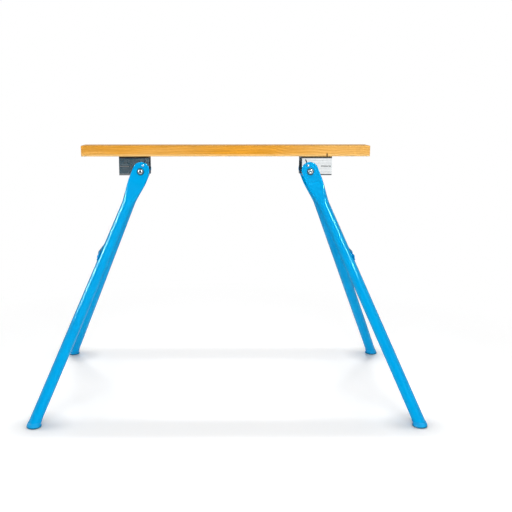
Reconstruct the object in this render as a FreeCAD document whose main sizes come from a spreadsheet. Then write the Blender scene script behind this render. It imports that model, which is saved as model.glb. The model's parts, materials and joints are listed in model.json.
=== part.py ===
import FreeCAD, Part
import math
import os

import Sketcher
from FreeCAD import Placement, Rotation, Vector

# Folding sawhorse: a timber beam carried by two tubular leg frames that swing under it.
# Millimetres. +X runs along the beam, +Z is up, -Y is the front, and the origin is on the floor
# under the middle of the beam.
#
# Each leg frame is drawn hanging straight down from its pivot and is then tilted outwards. In that
# drawing the pivot axis is Y through the origin and the outer face looks along side * X, where side
# is -1 at the left end and +1 at the right end. depth is -1 for a front piece and +1 for a rear one.

SIZES = {
    # Timber beam
    "beam_length": 914,
    "beam_width": 89,
    "beam_thickness": 34,
    "beam_arris": 4,
    "beam_end_chamfer": 1,
    # Stance: the top of the beam, the pivots and the middle of each sole
    "bench_height": 813,
    "pivot_reach": 270,
    "pivot_drop": 48,
    "foot_reach_x": 574,
    "foot_reach_y": 340,
    # Pressed brackets, measured from the pivot
    "bracket_inner": 27,
    "bracket_outer": 68,
    "bracket_width": 80,
    "bracket_edge": 12,
    "bracket_sheet": 2.5,
    "bracket_bend": 5,
    "bracket_lip": 9,
    "bead_rise": 17,
    "bead_start": 36,
    "bead_length": 28,
    "bead_radius": 1.5,
    # Fold stop: a pin in each leg head that runs in a curved slot of the bracket
    "stop_reach": 21,
    "stop_pin_diameter": 6,
    "stop_head_diameter": 9,
    "stop_head_height": 3,
    "stop_tail": 3,
    "slot_clearance": 0.4,
    "slit_width": 3.5,
    "slit_reach": 40,
    "left_fold_rise": 4,
    "right_fold_drop": 8,
    # Pivot hardware
    "bolt_diameter": 8,
    "bolt_head_diameter": 16,
    "bolt_head_height": 5,
    "bolt_tail": 2.5,
    "washer_diameter": 20,
    "washer_thickness": 1.6,
    "spacer_diameter": 28,
    "spacer_thickness": 1.5,
    "nut_flats": 13,
    "nut_height": 6.5,
    "nut_collar_diameter": 11,
    "nut_collar_height": 2,
    "running_clearance": 0.05,
    "hole_clearance": 0.2,
    # Leg tubes with flattened heads
    "tube_diameter": 35,
    "tube_wall": 1.6,
    "head_rise": 4,
    "head_reach": 36,
    "head_swage": 80,
    # Cross brace with flattened ends, riveted to the outer side of the legs
    "brace_reach": 286,
    "brace_diameter": 19,
    "brace_wall": 1.2,
    "brace_lug": 17,
    "brace_swage": 32,
    "seat_gap": 0.05,
    "rivet_diameter": 6.4,
    "rivet_head_diameter": 13,
    "rivet_head_height": 3.2,
    "rivet_bulb_diameter": 9,
    "rivet_bulb_length": 6,
    "rivet_bulb_gap": 0.8,
    # Plug-in feet
    "sole_diameter": 44,
    "sole_height": 8.5,
    "sole_edge": 1.2,
    "plug_length": 34,
    "plug_clearance": 0.1,
    # Screws from each bracket up into the beam
    "screw_diameter": 5,
    "screw_length": 28,
    "screw_flange_diameter": 13,
    "screw_flange_height": 1.2,
    "screw_flats": 8,
    "screw_head_height": 4.5,
    "screw_pitch_x": 64,
    "screw_pitch_y": 36,
    "pilot_spare": 1,
}

ENDS = {"left": -1, "right": 1}
DEPTHS = {"front": -1, "rear": 1}
RIGHT_ANGLE = 90
# Angle from the side of a round tube to the end of its folded edge, in degrees
ROUND_SPLIT = 30
# Share of a swage that is pressed shut before the tube's hollow begins
PRESSED_SHUT = 1 / 3

# Worked-out sizes, as expressions on the sheet
PIVOT_HEIGHT = "(sizes.bench_height - sizes.beam_thickness - sizes.pivot_drop)"
FRAME_RUN = "(sizes.foot_reach_x - sizes.pivot_reach)"
FRAME_DROP = f"({PIVOT_HEIGHT} - sizes.sole_height)"
FRAME_TILT = f"atan2({FRAME_RUN}; {FRAME_DROP})"
FRAME_LENGTH = f"sqrt({FRAME_RUN} ^ 2 + {FRAME_DROP} ^ 2)"
FOLD_ANGLE = {
    "left": f"({RIGHT_ANGLE}deg + {FRAME_TILT} + sizes.left_fold_rise * 1deg)",
    "right": f"({RIGHT_ANGLE}deg + {FRAME_TILT} - sizes.right_fold_drop * 1deg)",
}
FLANGE_OUTER = "(sizes.bracket_width / 2)"
FLANGE_INNER = f"({FLANGE_OUTER} - sizes.bracket_sheet)"
HEAD_INNER = f"({FLANGE_OUTER} + sizes.spacer_thickness)"
HEAD_MIDDLE = f"({HEAD_INNER} + sizes.tube_wall)"
HEAD_OUTER = f"({HEAD_INNER} + 2 * sizes.tube_wall)"
KNEE = "(sizes.head_reach + sizes.head_swage / 2)"
LEG_SPLAY = f"atan2(sizes.foot_reach_y - {HEAD_MIDDLE}; {FRAME_LENGTH} - {KNEE})"
BRACE_HALF = f"({HEAD_MIDDLE} + (sizes.brace_reach - {KNEE}) * tan({LEG_SPLAY}))"
BRACE_OFFSET = "(sizes.tube_diameter / 2 + sizes.seat_gap + sizes.brace_wall)"
SCREW_HOLE = "(sizes.screw_diameter / 2 + sizes.hole_clearance)"
BOLT_HOLE = "(sizes.bolt_diameter / 2 + sizes.hole_clearance)"
SLOT_HALF = "(sizes.stop_pin_diameter / 2 + sizes.slot_clearance)"

doc = FreeCAD.newDocument("folding_sawhorse")
sheet = doc.addObject("Spreadsheet::Sheet", "sizes")
for row, (alias, size) in enumerate(SIZES.items(), start=1):
    sheet.set(f"A{row}", alias)
    sheet.set(f"B{row}", str(size))
    sheet.setAlias(f"B{row}", alias)
doc.recompute()

pieces = []


def number(expression):
    """The value of an expression on the sheet, in millimetres or degrees."""
    result = sheet.evalExpression(expression)
    return float(getattr(result, "Value", result))


def keep(piece, label):
    """Name a finished piece and list it for writing."""
    piece.Label = label
    pieces.append(piece)
    return piece


# Sketches and bodies

def new_body(name):
    return doc.addObject("PartDesign::Body", name)


def new_sketch(body, name, role):
    """A sketch on one of the body's own origin planes."""
    sketch = body.newObject("Sketcher::SketchObject", name)
    plane = next(feature for feature in body.Origin.OriginFeatures if feature.Role == role)
    sketch.AttachmentSupport = [(plane, "")]
    sketch.MapMode = "FlatFace"
    return sketch


def hold(sketch, kind, expression, *elements):
    """Add one dimension and bind it to an expression."""
    index = sketch.addConstraint(Sketcher.Constraint(kind, *elements, number(expression)))
    sketch.setExpression(f"Constraints[{index}]", expression)


def hold_point(sketch, geometry, position, x, y):
    """Hold one point of a sketch at a place given from the sketch's origin."""
    hold(sketch, "DistanceX", x, -1, 1, geometry, position)
    hold(sketch, "DistanceY", y, -1, 1, geometry, position)


def draw_polygon(sketch, corners):
    """A closed polygon through corners given as pairs of expressions."""
    points = [Vector(number(x), number(y), 0) for x, y in corners]
    following = points[1:] + points[:1]
    lines = [sketch.addGeometry(Part.LineSegment(a, b)) for a, b in zip(points, following)]
    for line, after in zip(lines, lines[1:] + lines[:1]):
        sketch.addConstraint(Sketcher.Constraint("Coincident", line, 2, after, 1))
    for line, (x, y) in zip(lines, corners):
        hold_point(sketch, line, 1, x, y)


def draw_circle(sketch, x, y, radius):
    centre = Vector(number(x), number(y), 0)
    circle = sketch.addGeometry(Part.Circle(centre, Vector(0, 0, 1), number(radius)))
    hold_point(sketch, circle, 3, x, y)
    hold(sketch, "Radius", radius, circle)


def draw_cap(sketch, x, y, radius, start, stop):
    """The round end of a slot, as an arc from one angle to another in degrees."""
    circle = Part.Circle(Vector(number(x), number(y), 0), Vector(0, 0, 1), number(radius))
    arc = sketch.addGeometry(Part.ArcOfCircle(circle, math.radians(start), math.radians(stop)))
    hold_point(sketch, arc, 3, x, y)
    hold(sketch, "Radius", radius, arc)
    return arc


def draw_curved_slot(sketch, reach, half_width, low, high):
    """A slot along a circle round the origin, between two angles given as expressions."""
    ends = {}
    for angle, start in ((low, number(low) - 2 * RIGHT_ANGLE), (high, number(high))):
        centre = (f"{reach} * cos({angle})", f"{reach} * sin({angle})")
        cap = draw_cap(sketch, *centre, half_width, start, start + 2 * RIGHT_ANGLE)
        tip = Vector(number(centre[0]), number(centre[1]), 0)
        ray = sketch.addGeometry(Part.LineSegment(Vector(), tip), True)
        sketch.addConstraint(Sketcher.Constraint("Coincident", ray, 1, -1, 1))
        sketch.addConstraint(Sketcher.Constraint("Coincident", ray, 2, cap, 3))
        for position in (1, 2):
            sketch.addConstraint(Sketcher.Constraint("PointOnObject", cap, position, ray))
        ends[angle] = ray
    for sign in (-1, 1):
        radius = f"({reach} + {sign} * {half_width})"
        circle = Part.Circle(Vector(), Vector(0, 0, 1), number(radius))
        arc = Part.ArcOfCircle(circle, math.radians(number(low)), math.radians(number(high)))
        edge = sketch.addGeometry(arc)
        sketch.addConstraint(Sketcher.Constraint("Coincident", edge, 3, -1, 1))
        hold(sketch, "Radius", radius, edge)
        sketch.addConstraint(Sketcher.Constraint("PointOnObject", edge, 1, ends[low]))
        sketch.addConstraint(Sketcher.Constraint("PointOnObject", edge, 2, ends[high]))


def pad(body, name, sketch, length, midplane=False, reverse=False):
    feature = body.newObject("PartDesign::Pad", name)
    feature.Profile = sketch
    feature.setExpression("Length", length)
    feature.Midplane = midplane
    feature.Reversed = reverse
    doc.recompute()
    return feature


def pocket(body, name, sketch, length, midplane=False, reverse=False):
    """Cut a sketch into the body and make sure that it took something away."""
    before = body.Shape.Volume
    feature = body.newObject("PartDesign::Pocket", name)
    feature.Profile = sketch
    feature.setExpression("Length", length)
    feature.Midplane = midplane
    feature.Reversed = reverse
    doc.recompute()
    if body.Shape.Volume >= before:
        raise RuntimeError(f"{name} cuts nothing")
    return feature


def edges_along_x(feature, places):
    """Names of the straight edges along X that lie at the given (y, z) places."""
    names = []
    for index, edge in enumerate(feature.Shape.Edges, start=1):
        middle = edge.CenterOfMass
        along_x = edge.BoundBox.YLength < 1e-6 and edge.BoundBox.ZLength < 1e-6
        near = any(math.hypot(middle.y - y, middle.z - z) < 1e-3 for y, z in places)
        if along_x and near:
            names.append(f"Edge{index}")
    if not names:
        raise RuntimeError(f"no edges to round on {feature.Label}")
    return names


def round_edges(body, name, base, edges, radius, kind="PartDesign::Fillet", measure="Radius"):
    feature = body.newObject(kind, name)
    feature.Base = (base, edges)
    feature.setExpression(measure, radius)
    doc.recompute()
    return feature


# Round solids, stacked along an axis

TURNS = {
    "+x": (Rotation(Vector(0, 1, 0), RIGHT_ANGLE), (1, 0, 0)),
    "-x": (Rotation(Vector(0, 1, 0), -RIGHT_ANGLE), (-1, 0, 0)),
    "+y": (Rotation(Vector(1, 0, 0), -RIGHT_ANGLE), (0, 1, 0)),
    "-y": (Rotation(Vector(1, 0, 0), RIGHT_ANGLE), (0, -1, 0)),
    "+z": (Rotation(), (0, 0, 1)),
    "-z": (Rotation(Vector(1, 0, 0), 2 * RIGHT_ANGLE), (0, 0, -1)),
}


def stand(solid, base, axis, start):
    """Turn a primitive along an axis, starting some way along it from a base point."""
    rotation, direction = TURNS[axis]
    solid.Placement = Placement(Vector(), rotation)
    for letter, place, sign in zip("xyz", base, direction):
        solid.setExpression(f"Placement.Base.{letter}", f"{place} + {sign} * ({start})")
    return solid


def cylinder(name, diameter, height, base, axis, start="0"):
    solid = doc.addObject("Part::Cylinder", name)
    solid.setExpression("Radius", f"({diameter}) / 2")
    solid.setExpression("Height", height)
    return stand(solid, base, axis, start)


def dome(name, diameter, height, base, axis, start="0"):
    """A shallow cap of a sphere with its flat face at the start."""
    ball = f"((({diameter}) / 2) ^ 2 + ({height}) ^ 2) / (2 * ({height}))"
    solid = doc.addObject("Part::Sphere", name)
    solid.setExpression("Radius", ball)
    solid.setExpression("Angle1", f"asin(({ball} - {height}) / ({ball}))")
    return stand(solid, base, axis, f"{start} - ({ball} - {height})")


def hexagon(name, flats, height, base, axis, start="0"):
    solid = doc.addObject("Part::Prism", name)
    solid.Polygon = 6
    solid.setExpression("Circumradius", f"({flats}) / sqrt(3)")
    solid.setExpression("Height", height)
    return stand(solid, base, axis, start)


def fuse(name, solids):
    joined = doc.addObject("Part::MultiFuse", name)
    joined.Shapes = solids
    return joined


def cut(name, base, tool):
    result = doc.addObject("Part::Cut", name)
    result.Base = base
    result.Tool = tool
    return result


def group(name, solids):
    """Separate like fasteners held in one piece of the list."""
    compound = doc.addObject("Part::Compound", name)
    compound.Links = solids
    return compound


def place_at_pivot(piece, side):
    """Move a piece drawn from the pivot to its end of the beam, upright."""
    piece.setExpression("Placement.Base.x", f"{side} * sizes.pivot_reach")
    piece.setExpression("Placement.Base.z", PIVOT_HEIGHT)
    return piece


def hang_on_pivot(piece, side):
    """Move a piece of a leg frame to its end of the beam, tilted outwards."""
    piece.Placement = Placement(Vector(), Rotation(Vector(0, -side, 0), RIGHT_ANGLE))
    piece.setExpression("Placement.Rotation.Angle", FRAME_TILT)
    return place_at_pivot(piece, side)


# Beam

def screw_places():
    """Where each screw stands under the beam, from the middle of the beam."""
    middle = "(sizes.pivot_reach + (sizes.bracket_outer - sizes.bracket_inner) / 2)"
    return {
        end: [
            (f"{side} * {middle} + {along} * sizes.screw_pitch_x / 2", f"{across} * sizes.screw_pitch_y / 2")
            for along in (-1, 1)
            for across in (-1, 1)
        ]
        for end, side in ENDS.items()
    }


def make_beam():
    body = new_body("top_beam")
    outline = new_sketch(body, "beam_outline", "XY_Plane")
    draw_polygon(outline, [
        (f"{x} * sizes.beam_length / 2", f"{y} * sizes.beam_width / 2")
        for x, y in ((-1, -1), (1, -1), (1, 1), (-1, 1))
    ])
    plank = pad(body, "beam_plank", outline, "sizes.beam_thickness")
    half = number("sizes.beam_width") / 2
    corners = [(y, z) for y in (-half, half) for z in (0, number("sizes.beam_thickness"))]
    eased = round_edges(body, "beam_arrises", plank, edges_along_x(plank, corners), "sizes.beam_arris")
    ends = [
        f"Face{index}"
        for index, face in enumerate(eased.Shape.Faces, start=1)
        if face.BoundBox.XLength < 1e-6
    ]
    round_edges(body, "beam_ends", eased, ends, "sizes.beam_end_chamfer", "PartDesign::Chamfer", "Size")
    pilots = new_sketch(body, "beam_pilots", "XY_Plane")
    for places in screw_places().values():
        for x, y in places:
            draw_circle(pilots, x, y, SCREW_HOLE)
    depth = "sizes.screw_length - sizes.bracket_sheet + sizes.pilot_spare"
    pocket(body, "beam_pilot_holes", pilots, depth, reverse=True)
    body.setExpression("Placement.Base.z", "sizes.bench_height - sizes.beam_thickness")
    keep(body, "top_beam")


# Brackets

def make_bracket(end, side):
    """A lipped channel under the beam, with a curved stop slot in both flanges."""
    body = new_body(f"{end}_bracket")
    half = FLANGE_OUTER
    sheet_in = FLANGE_INNER
    lip = f"({half} - sizes.bracket_lip)"
    top = "sizes.pivot_drop"
    under = "(sizes.pivot_drop - sizes.bracket_sheet)"
    bottom = "(-1 * sizes.bracket_edge)"
    over = "(sizes.bracket_sheet - sizes.bracket_edge)"
    right = [(half, top), (half, bottom), (lip, bottom), (lip, over), (sheet_in, over), (sheet_in, under)]
    left = [(f"-1 * {y}", z) for y, z in reversed(right)]
    section = new_sketch(body, f"{end}_section", "YZ_Plane")
    draw_polygon(section, right + left)
    middle = f"{side} * (sizes.bracket_outer - sizes.bracket_inner) / 2"
    section.setExpression("AttachmentOffset.Base.z", middle)
    channel = pad(body, f"{end}_channel", section, "sizes.bracket_inner + sizes.bracket_outer", midplane=True)

    def corner_places(y, low, high):
        return [(sign * number(y), number(z)) for sign in (-1, 1) for z in (low, high)]

    outside = edges_along_x(channel, corner_places(half, bottom, top))
    bent = round_edges(body, f"{end}_outer_bends", channel, outside, "sizes.bracket_bend")
    inside = edges_along_x(bent, corner_places(sheet_in, over, under))
    round_edges(body, f"{end}_inner_bends", bent, inside, "sizes.bracket_bend - sizes.bracket_sheet")

    bead_offset = f"{side} * sizes.bead_start"
    rib = new_sketch(body, f"{end}_rib", "YZ_Plane")
    groove = new_sketch(body, f"{end}_groove", "YZ_Plane")
    for sign in (-1, 1):
        draw_circle(groove, f"{sign} * {half}", "sizes.bead_rise", "sizes.bead_radius")
        draw_rib(rib, sign, half)
    for sketch in (rib, groove):
        sketch.setExpression("AttachmentOffset.Base.z", bead_offset)
    pad(body, f"{end}_bead_rib", rib, "sizes.bead_length", reverse=side < 0)
    pocket(body, f"{end}_bead_groove", groove, "sizes.bead_length", reverse=side > 0)

    through = "2 * sizes.bracket_width"
    opened = f"({RIGHT_ANGLE}deg + {side} * {FRAME_TILT})"
    folded = f"({opened} - {side} * {FOLD_ANGLE[end]})"
    low, high = (folded, opened) if side > 0 else (opened, folded)
    slot = new_sketch(body, f"{end}_stop_slot", "XZ_Plane")
    draw_curved_slot(slot, "sizes.stop_reach", SLOT_HALF, low, high)
    pocket(body, f"{end}_stop_slots", slot, through, midplane=True)
    slit = new_sketch(body, f"{end}_slit", "XZ_Plane")
    draw_radial_slit(slit, opened)
    pocket(body, f"{end}_slits", slit, through, midplane=True)
    pivot = new_sketch(body, f"{end}_pivot_hole", "XZ_Plane")
    draw_circle(pivot, "0", "0", BOLT_HOLE)
    pocket(body, f"{end}_pivot_holes", pivot, through, midplane=True)

    screws = new_sketch(body, f"{end}_screw_holes", "XY_Plane")
    for x, y in screw_places()[end]:
        draw_circle(screws, f"{x} - {side} * sizes.pivot_reach", y, SCREW_HOLE)
    pocket(body, f"{end}_web_holes", screws, top, reverse=True)
    keep(place_at_pivot(body, side), f"{end}_bracket")


def draw_rib(sketch, sign, half):
    """Half a disc on the inner side of a flange, where the stiffening bead is pressed in."""
    radius = "(sizes.bead_radius + sizes.bracket_sheet)"
    face = f"{sign} * {half}"
    start = sign * RIGHT_ANGLE
    arc = draw_cap(sketch, face, "sizes.bead_rise", radius, start, start + 2 * RIGHT_ANGLE)
    reach = number(radius)
    height = number("sizes.bead_rise")
    foot = Vector(number(face), height - sign * reach, 0)
    head = Vector(number(face), height + sign * reach, 0)
    line = sketch.addGeometry(Part.LineSegment(foot, head))
    sketch.addConstraint(Sketcher.Constraint("Coincident", arc, 2, line, 1))
    sketch.addConstraint(Sketcher.Constraint("Coincident", line, 2, arc, 1))
    sketch.addConstraint(Sketcher.Constraint("Vertical", line))
    sketch.addConstraint(Sketcher.Constraint("PointOnObject", arc, 3, line))


def draw_radial_slit(sketch, angle):
    """A straight slot that leaves the stop slot in line with the opened leg."""
    half_width = "sizes.slit_width / 2"
    turn = number(angle)
    ends = []
    for reach, start in (("sizes.stop_reach", turn + RIGHT_ANGLE), ("sizes.slit_reach", turn - RIGHT_ANGLE)):
        ends.append(draw_cap(sketch, f"{reach} * cos({angle})", f"{reach} * sin({angle})", half_width,
                             start, start + 2 * RIGHT_ANGLE))
    near, far = ends
    across = Rotation(Vector(0, 0, 1), turn).multVec(Vector(0, number(half_width), 0))
    along = Rotation(Vector(0, 0, 1), turn).multVec(Vector(1, 0, 0))
    inner = along * number("sizes.stop_reach")
    outer = along * number("sizes.slit_reach")
    right = sketch.addGeometry(Part.LineSegment(inner - across, outer - across))
    left = sketch.addGeometry(Part.LineSegment(outer + across, inner + across))
    sketch.addConstraint(Sketcher.Constraint("Tangent", near, 2, right, 1))
    sketch.addConstraint(Sketcher.Constraint("Tangent", right, 2, far, 1))
    sketch.addConstraint(Sketcher.Constraint("Tangent", far, 2, left, 1))
    sketch.addConstraint(Sketcher.Constraint("Tangent", left, 2, near, 1))


def make_bracket_screws(end):
    """Hex flange screws, heads inside the channel and shanks up in the beam."""
    screws = []
    seat = "sizes.bench_height - sizes.beam_thickness - sizes.bracket_sheet"
    for index, (x, y) in enumerate(screw_places()[end], start=1):
        name = f"{end}_screw_{index}"
        base = (x, y, seat)
        shank = cylinder(f"{name}_shank", "sizes.screw_diameter", "sizes.screw_length", base, "+z")
        flange = cylinder(f"{name}_flange", "sizes.screw_flange_diameter", "sizes.screw_flange_height",
                          base, "-z")
        head = hexagon(f"{name}_head", "sizes.screw_flats", "sizes.screw_head_height", base, "-z")
        screws.append(fuse(name, [shank, flange, head]))
    keep(group(f"{end}_bracket_screws", screws), f"{end}_bracket_screws")


# Pivot hardware, drawn from the pivot outwards through one leg head

def make_pivot(end, side, name, depth):
    """Bolt, washer, spacer and nut of one leg's pivot."""
    prefix = f"{end}_{name}"
    out = "+y" if depth > 0 else "-y"
    inwards = "-y" if depth > 0 else "+y"
    middle = ("0", "0", "0")
    seat = f"({HEAD_OUTER} + sizes.washer_thickness)"
    bore = "sizes.bolt_diameter + 2 * sizes.running_clearance"

    def ring(label, diameter, thickness, start):
        disc = cylinder(f"{label}_disc", diameter, thickness, middle, out, start)
        hole = cylinder(f"{label}_hole", bore, thickness, middle, out, start)
        keep(place_at_pivot(cut(label, disc, hole), side), label)

    ring(f"{prefix}_pivot_washer", "sizes.washer_diameter", "sizes.washer_thickness", HEAD_OUTER)
    ring(f"{prefix}_pivot_spacer", "sizes.spacer_diameter", "sizes.spacer_thickness", FLANGE_OUTER)

    nut_span = "(sizes.nut_height + sizes.nut_collar_height)"
    grip = f"({seat} - {FLANGE_INNER} + {nut_span} + sizes.bolt_tail)"
    head = dome(f"{prefix}_bolt_head", "sizes.bolt_head_diameter", "sizes.bolt_head_height",
                middle, out, seat)
    shank = cylinder(f"{prefix}_bolt_shank", "sizes.bolt_diameter", grip, middle, inwards, f"-1 * {seat}")
    bolt = fuse(f"{prefix}_pivot_bolt", [head, shank])
    keep(place_at_pivot(bolt, side), f"{prefix}_pivot_bolt")

    face = f"-1 * {FLANGE_INNER}"
    block = hexagon(f"{prefix}_nut_block", "sizes.nut_flats", "sizes.nut_height", middle, inwards, face)
    collar = cylinder(f"{prefix}_nut_collar", "sizes.nut_collar_diameter", nut_span, middle, inwards, face)
    hole = cylinder(f"{prefix}_nut_hole", bore, nut_span, middle, inwards, face)
    nut = cut(f"{prefix}_pivot_nut", fuse(f"{prefix}_nut_blank", [block, collar]), hole)
    keep(place_at_pivot(nut, side), f"{prefix}_pivot_nut")


def make_stop_pin(end, side, name, depth):
    """A domed pin in the leg head, above the pivot, whose tail runs in the bracket's slot."""
    prefix = f"{end}_{name}_stop"
    out = "+y" if depth > 0 else "-y"
    inwards = "-y" if depth > 0 else "+y"
    base = ("0", "0", "sizes.stop_reach")
    head = dome(f"{prefix}_head", "sizes.stop_head_diameter", "sizes.stop_head_height", base, out, HEAD_OUTER)
    length = f"({HEAD_OUTER} - {FLANGE_INNER} + sizes.stop_tail)"
    shank = cylinder(f"{prefix}_shank", "sizes.stop_pin_diameter", length,
                     base, inwards, f"-1 * {HEAD_OUTER}")
    keep(hang_on_pivot(fuse(f"{prefix}_pin", [head, shank]), side), f"{prefix}_pin")


# Flattened tubes

def pressed_width(diameter, wall):
    """Width of a tube pressed flat, from the length of its wall's middle line."""
    return math.pi * (diameter - 2 * wall) / 2 + 2 * wall


def tube_section(diameter, wall, roundness, inset, placement):
    """A closed section between pressed flat (roundness 0) and round (roundness 1).

    The section lies in X (width) and Y (thickness) before it is placed. inset shrinks it on all sides.
    """
    def blend(flat, full):
        return flat + (full - flat) * roundness

    radius = diameter / 2
    half_width = blend(pressed_width(diameter, wall) / 2, radius) - inset
    half_thick = blend(wall, radius) - inset
    split = math.radians(ROUND_SPLIT)
    shrink = (radius - inset) / radius
    side_x = blend(half_width - half_thick, radius * math.cos(split) * shrink)
    side_y = blend(half_thick, radius * math.sin(split) * shrink)
    corners = [Vector(sx * side_x, sy * side_y, 0) for sx, sy in ((-1, 1), (1, 1), (1, -1), (-1, -1))]
    tops = ((0, half_thick), (half_width, 0), (0, -half_thick), (-half_width, 0))
    crowns = [Vector(x, y, 0) for x, y in tops]
    edges = []
    for index, crown in enumerate(crowns):
        first, last = corners[index], corners[(index + 1) % len(corners)]
        straight = index % 2 == 0 and roundness == 0
        edges.append((Part.LineSegment(first, last) if straight else Part.Arc(first, crown, last)).toShape())
    wire = Part.Wire(edges)
    wire.Placement = placement
    return wire


def smooth(step):
    """Ease in and out between 0 and 1."""
    return step * step * (3 - 2 * step)


def swaged_length(diameter, wall, inset, path, width_axis, first=0.0, steps=6):
    """The stretch that goes from pressed flat to round, lofted along a bend of three points."""
    start, knee, finish = path
    wires = []
    for index in range(steps + 1):
        step = first + (1 - first) * index / steps
        centre = start * (1 - step) ** 2 + knee * (2 * step * (1 - step)) + finish * step ** 2
        heading = (knee - start) * (1 - step) + (finish - knee) * step
        heading.normalize()
        turn = Rotation(width_axis, Vector(), heading, "ZXY")
        wires.append(tube_section(diameter, wall, smooth(step), inset, Placement(centre, turn)))
    return Part.makeLoft(wires, True)


def pressed_plate(diameter, wall, origin, heading, width_axis, length, end_radius):
    """The flat end of a tube, with its folded sides round and its tip cut to a half circle."""
    turn = Rotation(width_axis, Vector(), heading, "ZXY")
    section = Part.Face(tube_section(diameter, wall, 0, 0, Placement(origin, turn)))
    bar = section.extrude(heading * length)
    tip = origin + heading * (length - end_radius)
    thickness = turn.multVec(Vector(0, 1, 0))
    disc = Part.makeCylinder(end_radius, 4 * wall, tip - thickness * (2 * wall), thickness)
    square = section.extrude(heading * (length - end_radius))
    return square.fuse(bar.common(disc)).removeSplitter()


def bored(solid, radius, middle, axis, span):
    """Drill a straight hole through a solid, centred on a point."""
    return solid.cut(Part.makeCylinder(radius, span, middle - axis * (span / 2), axis))


# Leg frames

def floor_turn(side):
    """The rotation that sets a piece level on the floor, seen from the hanging frame."""
    return Rotation(Vector(0, side, 0), number(FRAME_TILT))


def leg_axis(depth):
    """Direction of a leg's straight tube, downwards."""
    splay = math.radians(number(LEG_SPLAY))
    return Vector(0, depth * math.sin(splay), -math.cos(splay))


def sole_top(depth):
    """Where the leg's axis meets the top of its sole."""
    return Vector(0, depth * number("sizes.foot_reach_y"), -number(FRAME_LENGTH))


def under_sole_top(side, depth):
    """A block that fills everything under the top of one sole."""
    size = 4 * number("sizes.sole_diameter")
    block = Part.makeBox(size, size, size, Vector(-size / 2, -size / 2, -size))
    block.Placement = Placement(sole_top(depth), floor_turn(side))
    return block


def leg_shape(side, depth):
    """A tube pressed flat at the pivot, bent outwards below it and cut level at the foot."""
    diameter = number("sizes.tube_diameter")
    wall = number("sizes.tube_wall")
    down = Vector(0, 0, -1)
    up = Vector(0, 0, 1)
    wide = Vector(1, 0, 0)
    axis = leg_axis(depth)
    middle = Vector(0, depth * number(HEAD_MIDDLE), 0)
    half_swage = number("sizes.head_swage") / 2
    knee = middle + down * number(KNEE)
    path = (knee - down * half_swage, knee, knee + axis * half_swage)
    radius = pressed_width(diameter, wall) / 2
    head_length = number("sizes.head_reach") + number("sizes.head_rise") + radius
    head = pressed_plate(diameter, wall, path[0], up, wide, head_length, radius)
    run = (sole_top(depth) - path[2]).Length + number("sizes.sole_diameter")
    outside = Part.makeCylinder(diameter / 2, run, path[2], axis)
    inside = Part.makeCylinder(diameter / 2 - wall, run, path[2], axis)
    swage = swaged_length(diameter, wall, 0, path, wide)
    hollow = swaged_length(diameter, wall, wall, path, wide, first=PRESSED_SHUT)
    leg = head.fuse([swage, outside]).cut([hollow, inside])
    leg = leg.cut(under_sole_top(side, depth))
    across = Vector(0, 1, 0)
    bolt_hole = number("sizes.bolt_diameter / 2 + sizes.running_clearance")
    pin_hole = number("sizes.stop_pin_diameter / 2 + sizes.running_clearance")
    leg = bored(leg, bolt_hole, middle, across, diameter)
    leg = bored(leg, pin_hole, middle + up * number("sizes.stop_reach"), across, diameter)
    rivet_hole = number("sizes.rivet_diameter / 2 + sizes.running_clearance")
    rivet = Vector(side * diameter / 2, depth * number(BRACE_HALF), -number("sizes.brace_reach"))
    return bored(leg, rivet_hole, rivet, wide, diameter / 2)


def foot_shape(side, depth):
    """A round level sole with a slanting plug that fills the end of the tube."""
    turn = floor_turn(side)
    up = turn.multVec(Vector(0, 0, 1))
    top = sole_top(depth)
    height = number("sizes.sole_height")
    sole = Part.makeCylinder(number("sizes.sole_diameter") / 2, height, top - up * height, up)
    sole = sole.makeFillet(number("sizes.sole_edge"), [edge for edge in sole.Edges if edge.Closed])
    axis = leg_axis(depth)
    radius = number("sizes.tube_diameter / 2 - sizes.tube_wall - sizes.plug_clearance")
    length = number("sizes.plug_length")
    plug = Part.makeCylinder(radius, length + 2 * radius, top - axis * length, axis)
    reach = 4 * radius
    above = Part.makeBox(2 * reach, 2 * reach, reach, Vector(-reach, -reach, 0))
    above.Placement = Placement(top - up * (height / 2), turn)
    return sole.fuse(plug.common(above))


def brace_shape(side):
    """A thin tube across the outer side of both legs, pressed flat where it is riveted."""
    diameter = number("sizes.brace_diameter")
    wall = number("sizes.brace_wall")
    half = number(BRACE_HALF)
    lug = number("sizes.brace_lug")
    swage = number("sizes.brace_swage")
    wide = Vector(0, 0, 1)
    middle = Vector(side * number(BRACE_OFFSET), 0, -number("sizes.brace_reach"))
    round_half = half - lug - swage
    across = Vector(0, 1, 0)
    end_radius = pressed_width(diameter, wall) / 2
    start = middle - across * round_half
    solids = [Part.makeCylinder(diameter / 2, 2 * round_half, start, across)]
    hollows = [Part.makeCylinder(diameter / 2 - wall, 2 * round_half, start, across)]
    for sign in DEPTHS.values():
        out = across * sign
        flat = middle + out * (half - lug)
        path = (flat, flat - out * (swage / 2), flat - out * swage)
        solids.append(swaged_length(diameter, wall, 0, path, wide))
        solids.append(pressed_plate(diameter, wall, flat, out, wide, lug + end_radius, end_radius))
        hollows.append(swaged_length(diameter, wall, wall, path, wide, first=PRESSED_SHUT))
    brace = solids[0].fuse(solids[1:]).cut(hollows)
    rivet_hole = number("sizes.rivet_diameter / 2 + sizes.running_clearance")
    for sign in DEPTHS.values():
        brace = bored(brace, rivet_hole, middle + across * (sign * half), Vector(1, 0, 0), diameter)
    return brace


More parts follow.
